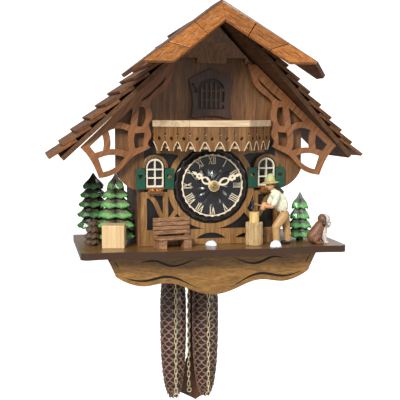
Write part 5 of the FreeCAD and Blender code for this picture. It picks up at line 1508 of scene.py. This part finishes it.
dog_shapes = [
    ("ball", (116.5, DY, -59.2), (8.6, 7.4, 8.2), 0, COAT),
    ("limb", (117.5, DY, -57), (123.5, DY, -47.5), 7.8, 6.4, COAT),
    ("limb", (127.4, DY, -61), (127.6, DY, -48.5), 3.4, 4.4, BIB),
    ("limb", (128.6, DY - 3.5, -65.2), (127.0, DY - 3.2, -50), 2.1, 2.3, BIB),
    ("limb", (128.6, DY + 3.5, -65.2), (127.0, DY + 3.2, -50), 2.1, 2.3, BIB),
    ("limb", (128.6, DY - 3.6, -65.8), (131.2, DY - 3.8, -66.0), 1.9, 1.7, BIB),
    ("limb", (128.6, DY + 3.6, -65.8), (131.2, DY + 3.8, -66.0), 1.9, 1.7, BIB),
    ("limb", (116.0, DY - 6.2, -63.2), (119.0, DY - 6.4, -59.0), 3.0, 3.2, COAT),
    ("limb", (117.0, DY - 6.6, -65.6), (123.4, DY - 6.8, -65.8), 2.0, 1.8, COAT),
    ("limb", (117.0, DY + 6.4, -65.6), (123.4, DY + 6.6, -65.8), 2.0, 1.8, COAT),
    ("ball", (128.6, DY - 1, -39.8), (6.2, 5.8, 6.2), 0, BIB),
    ("ball", (125.6, DY - 1, -39.0), (5.2, 6.0, 5.6), 0, COAT),
    ("limb", (130.8, DY - 1.2, -43.0), (133.0, DY - 1.8, -45.4), 3.4, 2.8, BIB),
    ("limb", (133.2, DY - 1.8, -46.6), (132.6, DY - 1.8, -48.0), 1.8, 1.5, COAT),
    ("ball", (135.2, DY - 1.9, -43.6), (1.0, 1.2, 0.9), 0, BOOTS),
    ("limb", (133.0, DY - 4.2, -39.0), (133.2, DY - 4.2, -39.1), 0.8, 0.8, BOOTS),
    ("limb", (133.4, DY + 2.0, -39.0), (133.6, DY + 2.0, -39.1), 0.8, 0.8, BOOTS),
    ("limb", (126.8, DY - 5.8, -37.6), (125.8, DY - 7.2, -44.6), 1.8, 2.1, EAR),
    ("limb", (126.8, DY + 3.8, -37.6), (125.8, DY + 5.2, -44.6), 1.8, 2.1, EAR),
    ("limb", (111, DY + 1, -64.4), (107.4, DY + 4, -64.6), 1.9, 1.3, COAT),
]
dog_paint = toned("dog paint", rough=0.5, coat=0.15, mottle=0.5, scale=650, relief=0.6)
fit(figure("dog_carving", dog_shapes, 0.36, dog_paint, -67.4, 2), "case", "dog_paint", "dog")


# The setting: a pale floor well below the clock, a white room, one large soft light high on
# the left, a weaker one on the right and one behind.  The camera stands a little left and above.
floor_mesh = bpy.data.meshes.new("floor")
floor_mesh.from_pydata([(-30, -30, -0.62), (30, -30, -0.62), (30, 30, -0.62), (-30, 30, -0.62)], [], [(0, 1, 2, 3)])
floor = bpy.data.objects.new("floor", floor_mesh)
bpy.context.scene.collection.objects.link(floor)
pale = bpy.data.materials.new("pale floor")
pale.use_nodes = True
floor_shader = pale.node_tree.nodes["Principled BSDF"]
floor_shader.inputs["Base Color"].default_value = (0.80, 0.80, 0.80, 1)
floor_shader.inputs["Roughness"].default_value = 0.9
floor_shader.inputs["Emission Color"].default_value = (1, 1, 1, 1)
floor_shader.inputs["Emission Strength"].default_value = 0.85
floor_mesh.materials.append(pale)
backdrop_mesh = bpy.data.meshes.new("backdrop")
backdrop_mesh.from_pydata([(-9, 4, -6), (9, 4, -6), (9, 4, 7), (-9, 4, 7)], [], [(0, 1, 2, 3)])
backdrop = bpy.data.objects.new("backdrop", backdrop_mesh)
bpy.context.scene.collection.objects.link(backdrop)
glow = pale.copy()
glow.node_tree.nodes["Principled BSDF"].inputs["Emission Strength"].default_value = 1.0
backdrop_mesh.materials.append(glow)
for sheet in (floor, backdrop):
    sheet.visible_diffuse = sheet.visible_glossy = False

room = bpy.data.worlds.new("white room")
room.use_nodes = True
room.node_tree.nodes["Background"].inputs["Color"].default_value = (1, 1, 1, 1)
room.node_tree.nodes["Background"].inputs["Strength"].default_value = 0.42
bpy.context.scene.world = room


def soft_light(name, place, aim, size, watts):
    lamp = bpy.data.lights.new(name, "AREA")
    lamp.shape, lamp.size, lamp.energy = "SQUARE", size, watts
    made = bpy.data.objects.new(name, lamp)
    bpy.context.scene.collection.objects.link(made)
    made.location = place
    made.rotation_euler = (Vector(aim) - Vector(place)).to_track_quat("-Z", "Y").to_euler()


CLOCK_MIDDLE = (0, -0.1, -0.1)
soft_light("key light", (-0.9, -1.5, 0.9), CLOCK_MIDDLE, 0.55, 42)
soft_light("fill light", (1.2, -1.3, 0.4), CLOCK_MIDDLE, 0.8, 8)
soft_light("rear light", (0.9, 1.6, 0.9), CLOCK_MIDDLE, 0.9, 5)

lens = bpy.data.cameras.new("camera")
lens.lens, lens.sensor_width = 75.7, 36
camera = bpy.data.objects.new("camera", lens)
bpy.context.scene.collection.objects.link(camera)
camera.location = at(-202.2, -927, 79)
camera.rotation_euler = Euler((math.radians(90 - 5.8), 0, math.radians(-11.6)))
bpy.context.scene.camera = camera
bpy.context.scene.view_settings.view_transform = "Standard"
